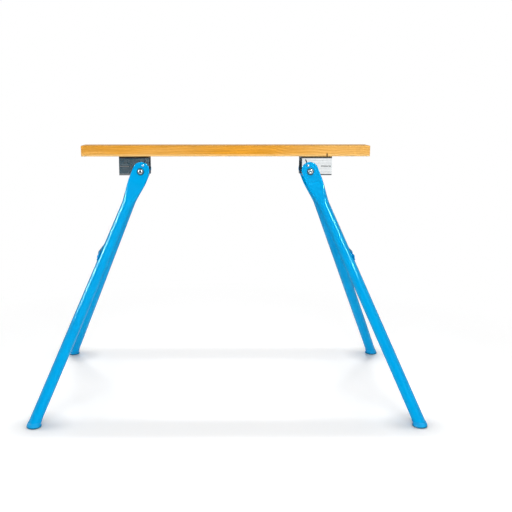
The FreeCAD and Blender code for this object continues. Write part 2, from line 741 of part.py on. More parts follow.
def make_brace_rivets(end, side):
    """Blind rivets through the brace's flat ends into the outer wall of each leg."""
    out, inwards = ("+x", "-x") if side > 0 else ("-x", "+x")
    face = f"({BRACE_OFFSET} + sizes.brace_wall)"
    bulb_start = "(sizes.tube_diameter / 2 - sizes.tube_wall - sizes.rivet_bulb_gap)"
    rivets = []
    for name, depth in DEPTHS.items():
        prefix = f"{end}_{name}_rivet"
        base = ("0", f"{depth} * {BRACE_HALF}", "-1 * sizes.brace_reach")
        head = dome(f"{prefix}_head", "sizes.rivet_head_diameter", "sizes.rivet_head_height", base, out, face)
        shank = cylinder(f"{prefix}_shank", "sizes.rivet_diameter", f"{face} - {bulb_start}",
                         base, inwards, f"-1 * {face}")
        bulb = cylinder(f"{prefix}_bulb", "sizes.rivet_bulb_diameter", "sizes.rivet_bulb_length",
                        base, inwards, f"-1 * {bulb_start}")
        rivets.append(fuse(prefix, [head, shank, bulb]))
    keep(hang_on_pivot(group(f"{end}_brace_rivets", rivets), side), f"{end}_brace_rivets")


def make_formed(label, shape, side):
    """Add a formed piece of a leg frame and hang it on its pivot."""
    feature = doc.addObject("Part::Feature", label)
    feature.Shape = shape
    keep(hang_on_pivot(feature, side), label)


def make_frame(end, side):
    for name, depth in DEPTHS.items():
        make_formed(f"{end}_{name}_leg", leg_shape(side, depth), side)
        make_formed(f"{end}_{name}_foot", foot_shape(side, depth), side)
        make_stop_pin(end, side, name, depth)
        make_pivot(end, side, name, depth)
    make_formed(f"{end}_brace", brace_shape(side), side)
    make_brace_rivets(end, side)


# Whole sawhorse

make_beam()
for end, side in ENDS.items():
    make_bracket(end, side)
    make_bracket_screws(end)
    make_frame(end, side)
doc.recompute()

for item in doc.Objects:
    if "Invalid" in item.State or "Error" in item.State:
        raise RuntimeError(f"{item.Label} failed: {item.State}")
for piece in pieces:
    if piece.Shape.isNull() or not piece.Shape.isValid():
        raise RuntimeError(f"{piece.Label} has no valid shape")

os.makedirs("parts", exist_ok=True)
for piece in pieces:
    piece.Shape.exportStep(f"parts/{piece.Label}.step")
    print(f"{piece.Label}: {len(piece.Shape.Solids)} solids, {piece.Shape.Volume / 1000:.2f} cm3")
print(f"fold angles: left {number(FOLD_ANGLE['left']):.3f}, right {number(FOLD_ANGLE['right']):.3f} degrees")
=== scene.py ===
"""A folding sawhorse: a pine beam on two galvanised brackets and two pairs of blue tube legs.

Everything is in metres in the part's own frame: +X along the beam, +Z up, the floor at Z 0.
"""

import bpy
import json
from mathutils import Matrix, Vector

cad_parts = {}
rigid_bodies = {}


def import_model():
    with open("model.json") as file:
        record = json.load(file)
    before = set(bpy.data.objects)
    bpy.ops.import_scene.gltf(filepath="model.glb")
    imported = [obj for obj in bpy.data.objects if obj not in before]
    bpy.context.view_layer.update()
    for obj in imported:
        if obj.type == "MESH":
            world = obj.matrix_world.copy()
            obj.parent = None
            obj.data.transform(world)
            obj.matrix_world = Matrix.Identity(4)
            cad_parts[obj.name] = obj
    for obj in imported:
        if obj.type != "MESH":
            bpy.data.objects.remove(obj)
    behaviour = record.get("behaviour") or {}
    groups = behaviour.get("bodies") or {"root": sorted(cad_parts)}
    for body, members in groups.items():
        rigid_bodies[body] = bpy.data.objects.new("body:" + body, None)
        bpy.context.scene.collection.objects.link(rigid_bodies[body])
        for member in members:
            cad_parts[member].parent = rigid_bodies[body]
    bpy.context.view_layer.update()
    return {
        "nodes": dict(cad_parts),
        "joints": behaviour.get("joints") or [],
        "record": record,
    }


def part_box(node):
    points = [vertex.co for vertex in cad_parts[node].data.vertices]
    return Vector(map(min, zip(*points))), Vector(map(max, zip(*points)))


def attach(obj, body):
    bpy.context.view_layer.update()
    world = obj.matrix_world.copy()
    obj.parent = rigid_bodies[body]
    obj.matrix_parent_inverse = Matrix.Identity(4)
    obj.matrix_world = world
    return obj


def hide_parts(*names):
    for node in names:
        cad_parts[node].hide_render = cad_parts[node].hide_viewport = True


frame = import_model()

import json
import logging
import math
from dataclasses import dataclass, field
from enum import Enum
from functools import reduce
from typing import NamedTuple

import bpy
import numpy as np
from mathutils import Matrix, Vector

LOG = logging.getLogger("sawhorse")
WHITE = (1.0, 1.0, 1.0, 1.0)
SHARP_ANGLE = 32.0
Array = np.ndarray
Node = bpy.types.Node
Socket = bpy.types.NodeSocket
Sockets = bpy.types.bpy_prop_collection
Pair = tuple[float, float]
Triple = tuple[float, float, float]
Colour = Triple


class Side(Enum):
    """A side of the sawhorse, with its sign along an axis."""

    @property
    def word(self) -> str:
        """The side's name in the names of pieces."""
        return self.name.lower()


class End(Side):
    """An end of the beam, with its sign along X."""

    LEFT = -1
    RIGHT = 1


class Depth(Side):
    """A long side of the beam, with its sign along Y."""

    FRONT = -1
    REAR = 1


class Body(Enum):
    """The bodies that pieces move with."""

    BEAM = "beam"
    LEFT_LEGS = "left_legs"
    RIGHT_LEGS = "right_legs"

    @classmethod
    def legs(cls, end: End) -> "Body":
        """The leg frame at one end."""
        return cls(f"{end.word}_legs")


# Skins

@dataclass
class Skin:
    """Points, four-sided faces and triangles of one closed surface."""

    points: Array
    quads: Array
    triangles: Array = field(default_factory=lambda: np.empty((0, 3), int))

    def outward(self) -> "Skin":
        """Turn all faces outwards.

        The volume under each triangle, seen from the origin, is a sixth of a . (b x c). Where the sum is
        negative, the faces point inwards and are reversed.

        Returns:
            The same skin with its faces outwards.
        """
        corners = np.vstack([self.quads[:, [0, 1, 2]], self.quads[:, [0, 2, 3]], self.triangles])
        a, b, c = (self.points[corners[:, column]] for column in range(3))
        if np.einsum("ij,ij->", a, np.cross(b, c)) >= 0:
            return self
        return Skin(self.points, self.quads[:, ::-1], self.triangles[:, ::-1])


def loft(rings: Array, ring_closed: bool = False) -> Skin:
    """Join rings of points into a closed skin.

    Point (i, j) is joined to its neighbours in the next ring and, round the ring, to the next column. The
    first and last rings are closed with fans to their middles, or are joined to each other.

    Args:
        rings: Points, as rings by columns by 3.
        ring_closed: Whether the last ring joins the first, as in a washer.

    Returns:
        The closed skin, facing outwards.
    """
    rows, columns = rings.shape[:2]
    index = np.arange(rows * columns).reshape(rows, columns)
    points = rings.reshape(-1, 3)
    if ring_closed:
        index = np.vstack([index, index[:1]])
    after = np.roll(index, -1, axis=1)
    quads = np.stack([index[:-1], after[:-1], after[1:], index[1:]], axis=-1).reshape(-1, 4)
    if ring_closed:
        return Skin(points, quads).outward()
    first = np.full(columns, rows * columns)
    fans = np.vstack([
        np.stack([after[0], index[0], first], axis=-1),
        np.stack([index[-1], after[-1], first + 1], axis=-1),
    ])
    points = np.vstack([points, rings[0].mean(axis=0), rings[-1].mean(axis=0)])
    return Skin(points, quads, fans).outward()


def full_turn(columns: int) -> Array:
    """Angles of the points round a ring."""
    return np.linspace(0, 2 * np.pi, columns, endpoint=False)


def rings_about_z(radius: Array, height: Array, turn: Array) -> Array:
    """Rings of points at (r cos t, r sin t, h), with a radius for each ring or for each point."""
    return np.stack([radius * np.cos(turn), radius * np.sin(turn), height + 0 * turn], axis=-1)


def lathe(profile: Array, columns: int = 48) -> Array:
    """Turn a profile of radius and height about the Z axis, into rings by columns by 3."""
    return rings_about_z(profile[:, :1], profile[:, 1:], full_turn(columns))


def arc(centre: Pair, radius: float, start: float, stop: float, steps: int = 6) -> Array:
    """Points on an arc of a profile, at centre + radius (cos t, sin t).

    Args:
        centre: Middle of the arc.
        radius: Its radius.
        start: First angle, in degrees.
        stop: Last angle, in degrees.
        steps: Number of points.

    Returns:
        Points by 2.
    """
    turn = np.radians(np.linspace(start, stop, steps))
    return np.array(centre) + radius * np.stack([np.cos(turn), np.sin(turn)], axis=-1)


def dome(inner: float, outer: float, low: float, high: float, start: float, steps: int) -> Array:
    """Profile of a dome: at angle t, radius inner + (outer - inner) sin t and height low + (high - low) cos t.

    Args:
        inner: Radius of the flat on its top.
        outer: Radius of its rim.
        low: Height of its rim.
        high: Height of its top.
        start: First angle, near the top.
        steps: Number of points, of which the last is on the rim.

    Returns:
        Points by 2.
    """
    turn = np.linspace(start, np.pi / 2, steps)
    return np.stack([inner + (outer - inner) * np.sin(turn), low + (high - low) * np.cos(turn)], axis=-1)


def hexagon_radius(flats: float, turn: Array) -> Array:
    """Distance from the middle of a hexagon to its edge in each direction: half its flats over the cosine."""
    sixth = np.pi / 3
    return flats / 2 / np.cos((turn + sixth / 2) % sixth - sixth / 2)


def facing(points: Array, outwards: Depth, middle: Vector, seat: float) -> Array:
    """Stand a turned piece on the front or rear of the sawhorse.

    With s for the side's sign, point (x, y, z) goes to (middle x + x, s (seat + z), middle z - s y).

    Args:
        points: Points of the piece, with its axis on Z.
        outwards: The side that +Z is turned to.
        middle: A point that the piece's axis passes, of which X and Z count.
        seat: Distance from the middle of the beam to the piece's Z 0.

    Returns:
        The points in the part's frame.
    """
    x, y, z = np.moveaxis(points, -1, 0)
    depth = outwards.value
    return np.stack([middle.x + x, depth * (seat + z), middle.z + depth * -y], axis=-1)


def reach(node: str) -> Pair:
    """The nearest and furthest distance of a CAD node from the middle of the beam, along Y."""
    low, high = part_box(node)
    return tuple(sorted((abs(low.y), abs(high.y))))


def link_object(name: str, data: bpy.types.ID) -> bpy.types.Object:
    """Put a mesh, lamp or camera into the scene."""
    made = bpy.data.objects.new(name, data)
    bpy.context.scene.collection.objects.link(made)
    return made


def add_piece(name: str, skin: Skin, finish: "Finish", body: Body, *replaced: str,
              sharp: float = SHARP_ANGLE) -> None:
    """Make an object from a skin, dress it and let it ride on a body.

    Args:
        name: Name of the piece.
        skin: Its surface.
        finish: Its finish.
        body: The body that it moves with.
        replaced: The CAD nodes that it stands for.
        sharp: Angle between faces, in degrees, from which an edge is shaded sharp.
    """
    mesh = bpy.data.meshes.new(name)
    mesh.from_pydata(skin.points.tolist(), [], skin.quads.tolist() + skin.triangles.tolist())
    mesh.shade_smooth()
    mesh.set_sharp_from_angle(angle=math.radians(sharp))
    mesh.materials.append(finish.material())
    piece = link_object(name, mesh)
    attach(piece, body.value)
    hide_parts(*replaced)
    LOG.info("%s: %d faces on %s", name, len(mesh.polygons), body.value)


def dress_node(node: str, finish: "Finish") -> None:
    """Give a CAD node its finish."""
    part = frame["nodes"][node]
    part.data.materials.clear()
    part.data.materials.append(finish.material())
    LOG.info("%s: CAD node dressed in %s", node, finish.slot)


# Shader graphs

class Graph:
    """A node tree with short ways to add and join nodes."""

    def __init__(self, tree: bpy.types.NodeTree) -> None:
        """Start from an existing tree."""
        self.tree = tree

    def add(self, kind: str, inputs: dict | None = None, **settings: object) -> Node:
        """Add a node.

        Args:
            kind: The node's type, without its ShaderNode prefix.
            inputs: Values or output sockets for its inputs, by name or number.
            settings: Properties of the node.

        Returns:
            The node.
        """
        prefix = "" if kind.startswith("Node") else "ShaderNode"
        node = self.tree.nodes.new(prefix + kind)
        for key, value in settings.items():
            setattr(node, key, value)
        for key, value in (inputs or {}).items():
            self.feed(node.inputs[key], value)
        return node

    def feed(self, socket: Socket, value: object) -> None:
        """Set a socket's value, or link an output socket to it."""
        if isinstance(value, Socket):
            self.tree.links.new(value, socket)
        else:
            socket.default_value = value

    def math(self, operation: str, *values: object, clamp: bool = False) -> Socket:
        """Work out one number from others."""
        node = self.add("Math", dict(enumerate(values)), operation=operation, use_clamp=clamp)
        return node.outputs[0]

    def times(self, *values: object) -> Socket:
        """The product of two or more values."""
        return reduce(lambda first, second: self.math("MULTIPLY", first, second), values)

    def most(self, *values: object) -> Socket | float:
        """The greatest of one or more values."""
        return reduce(lambda first, second: self.math("MAXIMUM", first, second), values)

    def vary(self, base: object, value: object, change: float) -> Socket:
        """A base that changes with a value: base + value x change."""
        return self.math("ADD", base, self.times(value, change))

    def axes(self, vector: Socket) -> Sockets:
        """The X, Y and Z of a vector."""
        return self.add("SeparateXYZ", {0: vector}).outputs

    def combine(self, x: object, y: object = 0.0, z: object = 0.0) -> Socket:
        """A vector from its X, Y and Z."""
        return self.add("CombineXYZ", {0: x, 1: y, 2: z}).outputs[0]

    def length(self, vector: Socket) -> Socket:
        """The length of a vector."""
        return self.add("VectorMath", {0: vector}, operation="LENGTH").outputs["Value"]

    def stretch(self, vector: Socket, scale: Triple, move: Triple = (0, 0, 0)) -> Socket:
        """Scale a vector, then move it."""
        return self.add("Mapping", {"Vector": vector, "Scale": scale, "Location": move}).outputs[0]

    def noise(self, vector: Socket, scale: object, detail: float = 2.0) -> Socket:
        """Smooth noise from 0 to 1."""
        return self.add("TexNoise", {"Vector": vector, "Scale": scale, "Detail": detail}).outputs["Fac"]

    def band(self, value: Socket, low: float, high: float, start: object = 0.0, stop: object = 1.0) -> Socket:
        """Ease from start, where a value is low, to stop, where it is high, with no change outside."""
        inputs = {"Value": value, "From Min": low, "From Max": high, "To Min": start, "To Max": stop}
        return self.add("MapRange", inputs, interpolation_type="SMOOTHSTEP").outputs[0]

    def edge(self, value: Socket, limit: float, soft: float, start: object, stop: object) -> Socket:
        """Ease from start to stop where a value passes a limit, over a soft distance on each side of it."""
        return self.band(value, limit - soft, limit + soft, start, stop)

    def mix(self, share: object, first: object, second: object) -> Socket:
        """Mix two colours."""
        node = self.add("Mix", {0: share}, data_type="RGBA")
        for socket, value in zip((node.inputs[6], node.inputs[7]), (first, second)):
            self.feed(socket, (*value, 1.0) if isinstance(value, tuple) else value)
        return node.outputs[2]

    def lay(self, ground: object, *layers: tuple[Socket, Colour]) -> Socket:
        """Lay colours over a ground in order, each by its own share."""
        return reduce(lambda below, layer: self.mix(layer[0], below, layer[1]), layers, ground)


def new_group(name: str, inputs: dict[str, float | None],
              outputs: tuple[str, ...]) -> tuple[Graph, Sockets, Sockets]:
    """Start a shader node group.

    Args:
        name: Name of the group.
        inputs: Default of each input, or None for a vector.
        outputs: Names of the outputs, which are numbers.

    Returns:
        Its graph, the outputs of its input node and the inputs of its output node.
    """
    tree = bpy.data.node_groups.new(name, "ShaderNodeTree")
    for label, value in inputs.items():
        kind = "NodeSocketVector" if value is None else "NodeSocketFloat"
        socket = tree.interface.new_socket(label, in_out="INPUT", socket_type=kind)
        if value is not None:
            socket.default_value = value
    for label in outputs:
        tree.interface.new_socket(label, in_out="OUTPUT", socket_type="NodeSocketFloat")
    graph = Graph(tree)
    return graph, graph.add("NodeGroupInput").outputs, graph.add("NodeGroupOutput").inputs


def growth_rings() -> bpy.types.NodeTree:
    """Rings of a tree round a pith line along X.

    The ring's share is the fraction of r / width, where r is the distance from the pith line, bent by slow
    noise. Latewood is the last part of each ring, which darkens slowly and ends sharply. Tone is a number
    of each ring's own.

    Returns:
        The node group.
    """
    inputs = {"Vector": None, "Width": 0.005, "Pith Y": 0.0, "Pith Z": 0.0, "Sway": 0.01}
    graph, given, out = new_group("growth_rings", inputs, ("Latewood", "Tone"))
    _, y, z = graph.axes(given["Vector"])
    # The sway is slow along X and quicker across it, and differs between Y and Z.
    sway_y = graph.noise(graph.stretch(given["Vector"], (1.6, 5, 5)), 1.0)
    sway_z = graph.noise(graph.stretch(given["Vector"], (3.1, 7, 7), (3, 1, 2)), 1.0)
    squares = []
    for axis, pith, sway in ((y, "Pith Y", sway_y), (z, "Pith Z", sway_z)):
        bend = graph.times(graph.math("SUBTRACT", sway, 0.5), given["Sway"])
        away = graph.math("ADD", graph.math("SUBTRACT", axis, given[pith]), bend)
        squares.append(graph.times(away, away))
    radius = graph.math("SQRT", graph.math("ADD", *squares))
    rings = graph.math("DIVIDE", radius, given["Width"])
    share = graph.math("FRACT", rings)
    darkens, ends = graph.band(share, 0.25, 0.9), graph.band(share, 0.92, 1.0, 1.0, 0.0)
    graph.feed(out["Latewood"], graph.times(darkens, ends))
    graph.feed(out["Tone"], graph.noise(graph.combine(graph.math("FLOOR", rings)), 1.7))
    return graph.tree


def fine_lines() -> bpy.types.NodeTree:
    """Fine lines along one direction, as wood fibres or the marks of a rolling mill.

    Returns:
        The node group, with lines from noise that is drawn out along the vector's X.
    """
    inputs = {"Vector": None, "Spacing": 0.001, "Length": 0.06}
    graph, given, out = new_group("fine_lines", inputs, ("Lines", "Flecks"))
    along, across = (graph.math("DIVIDE", 1.0, given[label]) for label in ("Length", "Spacing"))
    scale = graph.combine(along, across, across)
    drawn = graph.add("VectorMath", {0: given["Vector"], 1: scale}, operation="MULTIPLY").outputs[0]
    graph.feed(out["Lines"], graph.noise(drawn, 1.0, 4.0))
    graph.feed(out["Flecks"], graph.band(graph.noise(drawn, 0.45, 1.0), 0.63, 0.74))
    return graph.tree


def handling() -> bpy.types.NodeTree:
    """Broad soft smudges and a mottle nine times as fine, as on any surface that has been handled.

    Returns:
        The node group.
    """
    graph, given, out = new_group("handling", {"Vector": None, "Size": 0.08}, ("Smudge", "Mottle"))
    wide = graph.math("DIVIDE", 1.0, given["Size"])
    graph.feed(out["Smudge"], graph.noise(given["Vector"], wide, 3.0))
    graph.feed(out["Mottle"], graph.noise(given["Vector"], graph.times(wide, 9.0), 2.0))
    return graph.tree


GROUP_MAKERS = {maker.__name__: maker for maker in (growth_rings, fine_lines, handling)}


def shared_group(name: str) -> bpy.types.NodeTree:
    """The node group of that name, made the first time it is asked for."""
    return bpy.data.node_groups.get(name) or GROUP_MAKERS[name]()


# Finishes

class Spot(NamedTuple):
    """A round place at both ends, that goes through the sawhorse along Y.

    Attributes:
        away: Its distance from the middle along X.
        height: Its height.
        radius: Its radius.
    """

    away: float
    height: float
    radius: float


class Seam(NamedTuple):
    """A seam at both ends where shade is painted.

    Attributes:
        low: Its lowest place.
        high: Its highest place.
        start: How far from the middle along X it starts.
        stop: How far from the middle it stops.
        share: How dark the painted shade in it is.
    """

    low: float
    high: float
    start: float
    stop: float
    share: float


@dataclass(frozen=True)
class Finish:
    """What a surface is made of. A subclass draws the nodes.

    Attributes:
        name: Name of the material.
        slot: The record's material slot.
        colour: Main colour, linear.
        roughness: Roughness of the bare surface.
        gleam: Specular level of the gloss.
        smudge: Size of the smudges that handling leaves.
        relief: Depth of the relief.
    """

    name: str
    slot: str
    colour: Colour
    roughness: float
    gleam: float = 0.5
    smudge: float = 0.03
    relief: float = 0.00004

    def material(self) -> bpy.types.Material:
        """The finish's material, made the first time it is asked for."""
        found = bpy.data.materials.get(self.name)
        if found:
            return found
        material = bpy.data.materials.new(self.name)
        material.use_nodes = True
        graph = Graph(material.node_tree)
        shader = material.node_tree.nodes["Principled BSDF"]
        shader.inputs["Specular IOR Level"].default_value = self.gleam
        self.draw(graph, shader, graph.add("TexCoord").outputs["Object"])
        return material

    def draw(self, graph: Graph, shader: Node, place: Socket) -> None:
        """Draw the finish's nodes.

        Args:
            graph: The material's graph.
            shader: Its Principled BSDF.
            place: Object coordinates.
        """
        raise NotImplementedError

    def surface(self, graph: Graph, shader: Node, colour: Socket, rough: Socket, height: Socket) -> None:
        """Give the shader what changes over the surface.

        Args:
            graph: The material's graph.
            shader: Its Principled BSDF.
            colour: The colour.
            rough: The roughness.
            height: The relief, from 0 to 1, which is raised by the relief's depth.
        """
        bump = graph.add("Bump", {"Height": height, "Distance": self.relief, "Strength": 1.0})
        for name, value in (("Base Color", colour), ("Roughness", rough), ("Normal", bump.outputs[0])):
            graph.feed(shader.inputs[name], value)

    @staticmethod
    def group(graph: Graph, name: str, **inputs: object) -> Sockets:
        """Place a shared node group and return its outputs."""
        node = graph.add("Group", node_tree=shared_group(name))
        for key, value in inputs.items():
            graph.feed(node.inputs[key.replace("_", " ").title()], value)
        return node.outputs

    def hands(self, graph: Graph, place: Socket) -> Sockets:
        """The smudges and the mottle that handling leaves."""
        return self.group(graph, "handling", vector=place, size=self.smudge)

    @staticmethod
    def spots(graph: Graph, place: Socket, spots: tuple[Spot, ...], soft: float = 0.0006) -> Socket | float:
        """How deep each place lies in round spots: 1 inside and 0 outside.

        Args:
            graph: The material's graph.
            place: Object coordinates.
            spots: The spots.
            soft: Distance over which a spot fades, on each side of its edge.

        Returns:
            The greatest mask of all spots.
        """
        x, _, z = graph.axes(place)
        away = graph.math("ABSOLUTE", x)
        masks = []
        for spot in spots:
            across, up = graph.math("SUBTRACT", away, spot.away), graph.math("SUBTRACT", z, spot.height)
            far = graph.length(graph.combine(across, 0.0, up))
            masks.append(graph.edge(far, spot.radius, soft, 1.0, 0.0))
        return graph.most(0.0, *masks)


@dataclass(frozen=True)
class Pine(Finish):
    """Planed and oiled pine with slow rings, fibres, resin flecks and one small knot, and painted light on its
    right end and lower edge.

    Attributes:
        late_colour: Colour of the latewood.
        pale_colour: Colour of the paler heartwood, and of the painted light on the right end.
        sap_colour: Painted light: a paler colour along the lower edge, for light bounced up from the floor.
        worn_colour: Colour of the worn top face.
        knot_colour: Colour of the knot.
        ring_width: Width of a growth ring.
        pith: Place of the pith line along Y and Z.
        sway: How far the pith line sways.
        fibre: Distance between fibres, and their length.
        streak: Distance between broad streaks, and their length.
        paling: Where along X painted light starts to make the wood paler, and where it is palest.
        sap: Heights where the painted bounce light is full and where it ends.
        worn: Heights where the wear of the top face begins and where it is full.
        knot: Middle of the knot on the front face.
        knot_radius: Its radius along X.
        knot_stretch: Scale of the distance from its middle along each axis, under 1 where it is drawn out.
    """

    gleam: float = 0.16
    smudge: float = 0.12
    relief: float = 0.00022
    late_colour: Colour = (0.58, 0.245, 0.018)
    pale_colour: Colour = (0.92, 0.53, 0.155)
    sap_colour: Colour = (0.98, 0.65, 0.26)
    worn_colour: Colour = (0.47, 0.28, 0.095)
    knot_colour: Colour = (0.085, 0.03, 0.008)
    ring_width: float = 0.0068
    pith: Pair = (0.02, 0.70)
    sway: float = 0.085
    fibre: Pair = (0.0011, 0.07)
    streak: Pair = (0.0075, 0.16)
    paling: Pair = (0.10, 0.36)
    sap: Pair = (0.7825, 0.7885)
    worn: Pair = (0.8116, 0.8128)
    knot: Triple = (0.3212, -0.0440, 0.7838)
    knot_radius: float = 0.0040
    knot_stretch: Triple = (1.0, 0.12, 0.50)

    def draw(self, graph: Graph, shader: Node, place: Socket) -> None:
        """Lay the wood's colours and its painted light over each other, with the same relief as colour."""
        pith_y, pith_z = self.pith
        rings = self.group(graph, "growth_rings", vector=place, width=self.ring_width, pith_y=pith_y,
                           pith_z=pith_z, sway=self.sway)
        fibres, streaks = (self.group(graph, "fine_lines", vector=place, spacing=spacing, length=length)
                           for spacing, length in (self.fibre, self.streak))
        hands = self.hands(graph, graph.stretch(place, (0.35, 1, 1)))
        along, _, height = graph.axes(place)
        back = tuple(-middle * scale for middle, scale in zip(self.knot, self.knot_stretch))
        far = graph.length(graph.stretch(place, self.knot_stretch, back))
        wood = graph.lay(
            self.colour,
            # Broad pale patches, each ring's own tone, and dark streaks
            (graph.band(hands["Smudge"], 0.35, 0.68), self.pale_colour),
            (graph.times(rings["Tone"], 0.35), self.late_colour),
            (graph.band(streaks["Lines"], 0.36, 0.56, 0.42, 0.0), self.late_colour),
            # Painted light: the paler right end, as if more light falls on it, and the paler lower edge, for
            # light bounced up from the floor; then the wear on top
            (graph.band(along, *self.paling, 0.0, 0.84), self.pale_colour),
            (graph.band(height, *self.sap, 0.85, 0.0), self.sap_colour),
            (graph.band(height, *self.worn, 0.0, 0.5), self.worn_colour),
            # Latewood, fibres, resin flecks and the knot
            (graph.times(rings["Latewood"], 0.42), self.late_colour),
            (graph.band(fibres["Lines"], 0.3, 0.75, 0.16, 0.0), self.late_colour),
            (graph.times(fibres["Flecks"], 0.22), self.late_colour),
            (graph.band(far, 0.35 * self.knot_radius, self.knot_radius, 0.9, 0.0), self.knot_colour),
        )
        rough = graph.vary(graph.vary(self.roughness, fibres["Lines"], 0.16), rings["Latewood"], -0.08)
        self.surface(graph, shader, wood, rough, graph.vary(fibres["Lines"], rings["Latewood"], 0.6))


@dataclass(frozen=True)
class Enamel(Finish):
    """Stoved enamel on steel: even colour, a faint orange peel and a clear gloss.

    Attributes:
        deep_colour: Colour where the coat is thickest.
        gleam_colour: Tint of the gloss.
        grime_colour: Colour of the dark ring round the pivots: painted shade round the washers, with grime.
        grime: The spots that it lies in.
        grime_share: How much of the coat it hides.
        smear: How much the smudges change the roughness.
    """

    gleam: float = 0.15
    smudge: float = 0.055
    relief: float = 0.000004
    deep_colour: Colour = (0.0, 0.28, 0.70)
    gleam_colour: Colour = (0.28, 1.0, 1.0)
    grime_colour: Colour = (0.0, 0.10, 0.20)
    grime: tuple[Spot, ...] = ()
    grime_share: float = 0.85
    smear: float = 0.06

    def draw(self, graph: Graph, shader: Node, place: Socket) -> None:
        """Draw the coat's small changes of tone and gloss, its orange peel, and the painted shade and grime
        round the pivots.
        """
        hands = self.hands(graph, place)
        coat = graph.mix(graph.band(hands["Smudge"], 0.3, 0.75, 0.0, 0.3), self.colour, self.deep_colour)
        # Painted shade round the pivots, where the washers shade the coat, with grime
        if self.grime:
            share = graph.times(self.spots(graph, place, self.grime), self.grime_share)
            coat = graph.mix(share, coat, self.grime_colour)
        shader.inputs["Specular Tint"].default_value = (*self.gleam_colour, 1.0)
        rough = graph.vary(self.roughness, graph.math("SUBTRACT", hands["Smudge"], 0.5), self.smear)
        self.surface(graph, shader, coat, rough, hands["Mottle"])


@dataclass(frozen=True)
class Sheet(Finish):
    """Galvanised steel with rolling lines and spangle.

    Attributes:
        dull_colour: Colour of the duller crystals.
        dirt_colour: Colour of the painted shade.
        spangle: Size of a crystal.
        line_spacing: Distance between rolling lines.
        line_length: Their length.
        seams: The seams, creases and hems where shade is painted.
        sockets: The sockets where shade is painted.
        rims: Round faces, each of which has painted shade on its rim, outside its spot.
        rim_dirt: How dark the painted shade on a rim is.
        inner_half: Distance from the middle along Y below which a place is inside a channel.
        inner_dirt: How dark the painted shade inside a channel is, seams and all.
        soft: Distance over which the painted shade fades, on each side of its edge.
    """

    dull_colour: Colour = (0.50, 0.53, 0.55)
    dirt_colour: Colour = (0.016, 0.014, 0.012)
    spangle: float = 0.007
    line_spacing: float = 0.0009
    line_length: float = 0.05
    seams: tuple[Seam, ...] = ()
    sockets: tuple[Spot, ...] = ()
    rims: tuple[Spot, ...] = ()
    rim_dirt: float = 0.8
    inner_half: float = 0.0
    inner_dirt: float = 0.42
    soft: float = 0.0005

    def dirt(self, graph: Graph, place: Socket) -> Socket:
        """How much painted shade each place has.

        Args:
            graph: The material's graph.
            place: Object coordinates.

        Returns:
            The share of painted shade, full inside a seam, socket or rim and 0 outside it.
        """
        x, y, z = graph.axes(place)
        away = graph.math("ABSOLUTE", x)
        total = self.spots(graph, place, self.sockets)
        for seam in self.seams:
            lower = ((z, seam.low), (away, seam.start))
            upper = ((z, seam.high), (away, seam.stop))
            inside = [graph.edge(value, limit, self.soft, 0.0, 1.0) for value, limit in lower]
            inside += [graph.edge(value, limit, self.soft, 1.0, 0.0) for value, limit in upper]
            total = graph.most(total, graph.times(*inside, seam.share))
        if self.rims:
            outside = graph.math("SUBTRACT", 1.0, self.spots(graph, place, self.rims))
            total = graph.most(total, graph.times(outside, self.rim_dirt))
        if self.inner_half:
            total = graph.edge(graph.math("ABSOLUTE", y), self.inner_half, self.soft, self.inner_dirt, total)
        return total

    def draw(self, graph: Graph, shader: Node, place: Socket) -> None:
        """Draw crystals of slightly different tone and gloss, rolling lines along X, and painted shade in
        seams, sockets, round rims and inside channels.
        """
        lines = self.group(graph, "fine_lines", vector=place, spacing=self.line_spacing,
                           length=self.line_length)["Lines"]
        cells = graph.add("TexVoronoi", {"Vector": place, "Scale": 1.0 / self.spangle})
        crystal = graph.add("SeparateColor", {0: cells.outputs["Color"]}).outputs[0]
        rolled = graph.band(lines, 0.35, 0.7, 0.0, 0.45)
        dull = graph.math("ADD", graph.times(crystal, 0.16), rolled, clamp=True)
        metal = graph.mix(dull, self.colour, self.dull_colour)
        if self.seams or self.sockets or self.rims:
            # Painted shade: darker in the seams and sockets, round the rims and inside the channel
            metal = graph.mix(self.dirt(graph, place), metal, self.dirt_colour)
        shader.inputs["Metallic"].default_value = 1.0
        rough = graph.vary(self.roughness, crystal, 0.03)
        rough = graph.vary(rough, self.hands(graph, place)["Smudge"], 0.07)
        self.surface(graph, shader, metal, rough, lines)


@dataclass(frozen=True)
class ZincPlate(Sheet):
    """Zinc plate on small fasteners, with finer crystals and lines than sheet has."""

    spangle: float = 0.0015
    line_spacing: float = 0.0004


@dataclass(frozen=True)
class MouldedPlastic(Finish):
    """Moulded plastic with a fine spark texture, and mottled painted shade along its lowest edge.

    Attributes:
        dirt_colour: Colour of the painted shade.
        dirt_share: How much of the plastic the painted shade hides at most.
        dirt_heights: Height up to which the painted shade is full, and height where it ends.
    """

    gleam: float = 0.16
    smudge: float = 0.018
    relief: float = 0.00008
    dirt_colour: Colour = (0.0, 0.07, 0.10)
    dirt_share: float = 0.9
    dirt_heights: Pair = (0.0016, 0.0064)

    def draw(self, graph: Graph, shader: Node, place: Socket) -> None:
        """Draw the spark texture, and painted shade that fades upwards from the bottom."""
        hands = self.hands(graph, place)
        _, _, height = graph.axes(place)
        # Painted shade: darker at the bottom edge, fading upwards
        low = graph.band(height, *self.dirt_heights, self.dirt_share, 0.0)
        dirt = graph.times(low, graph.band(hands["Mottle"], 0.3, 0.6, 0.7, 1.0))
        rough = graph.vary(self.roughness, hands["Smudge"], 0.12)
        self.surface(graph, shader, graph.mix(dirt, self.colour, self.dirt_colour), rough, hands["Mottle"])
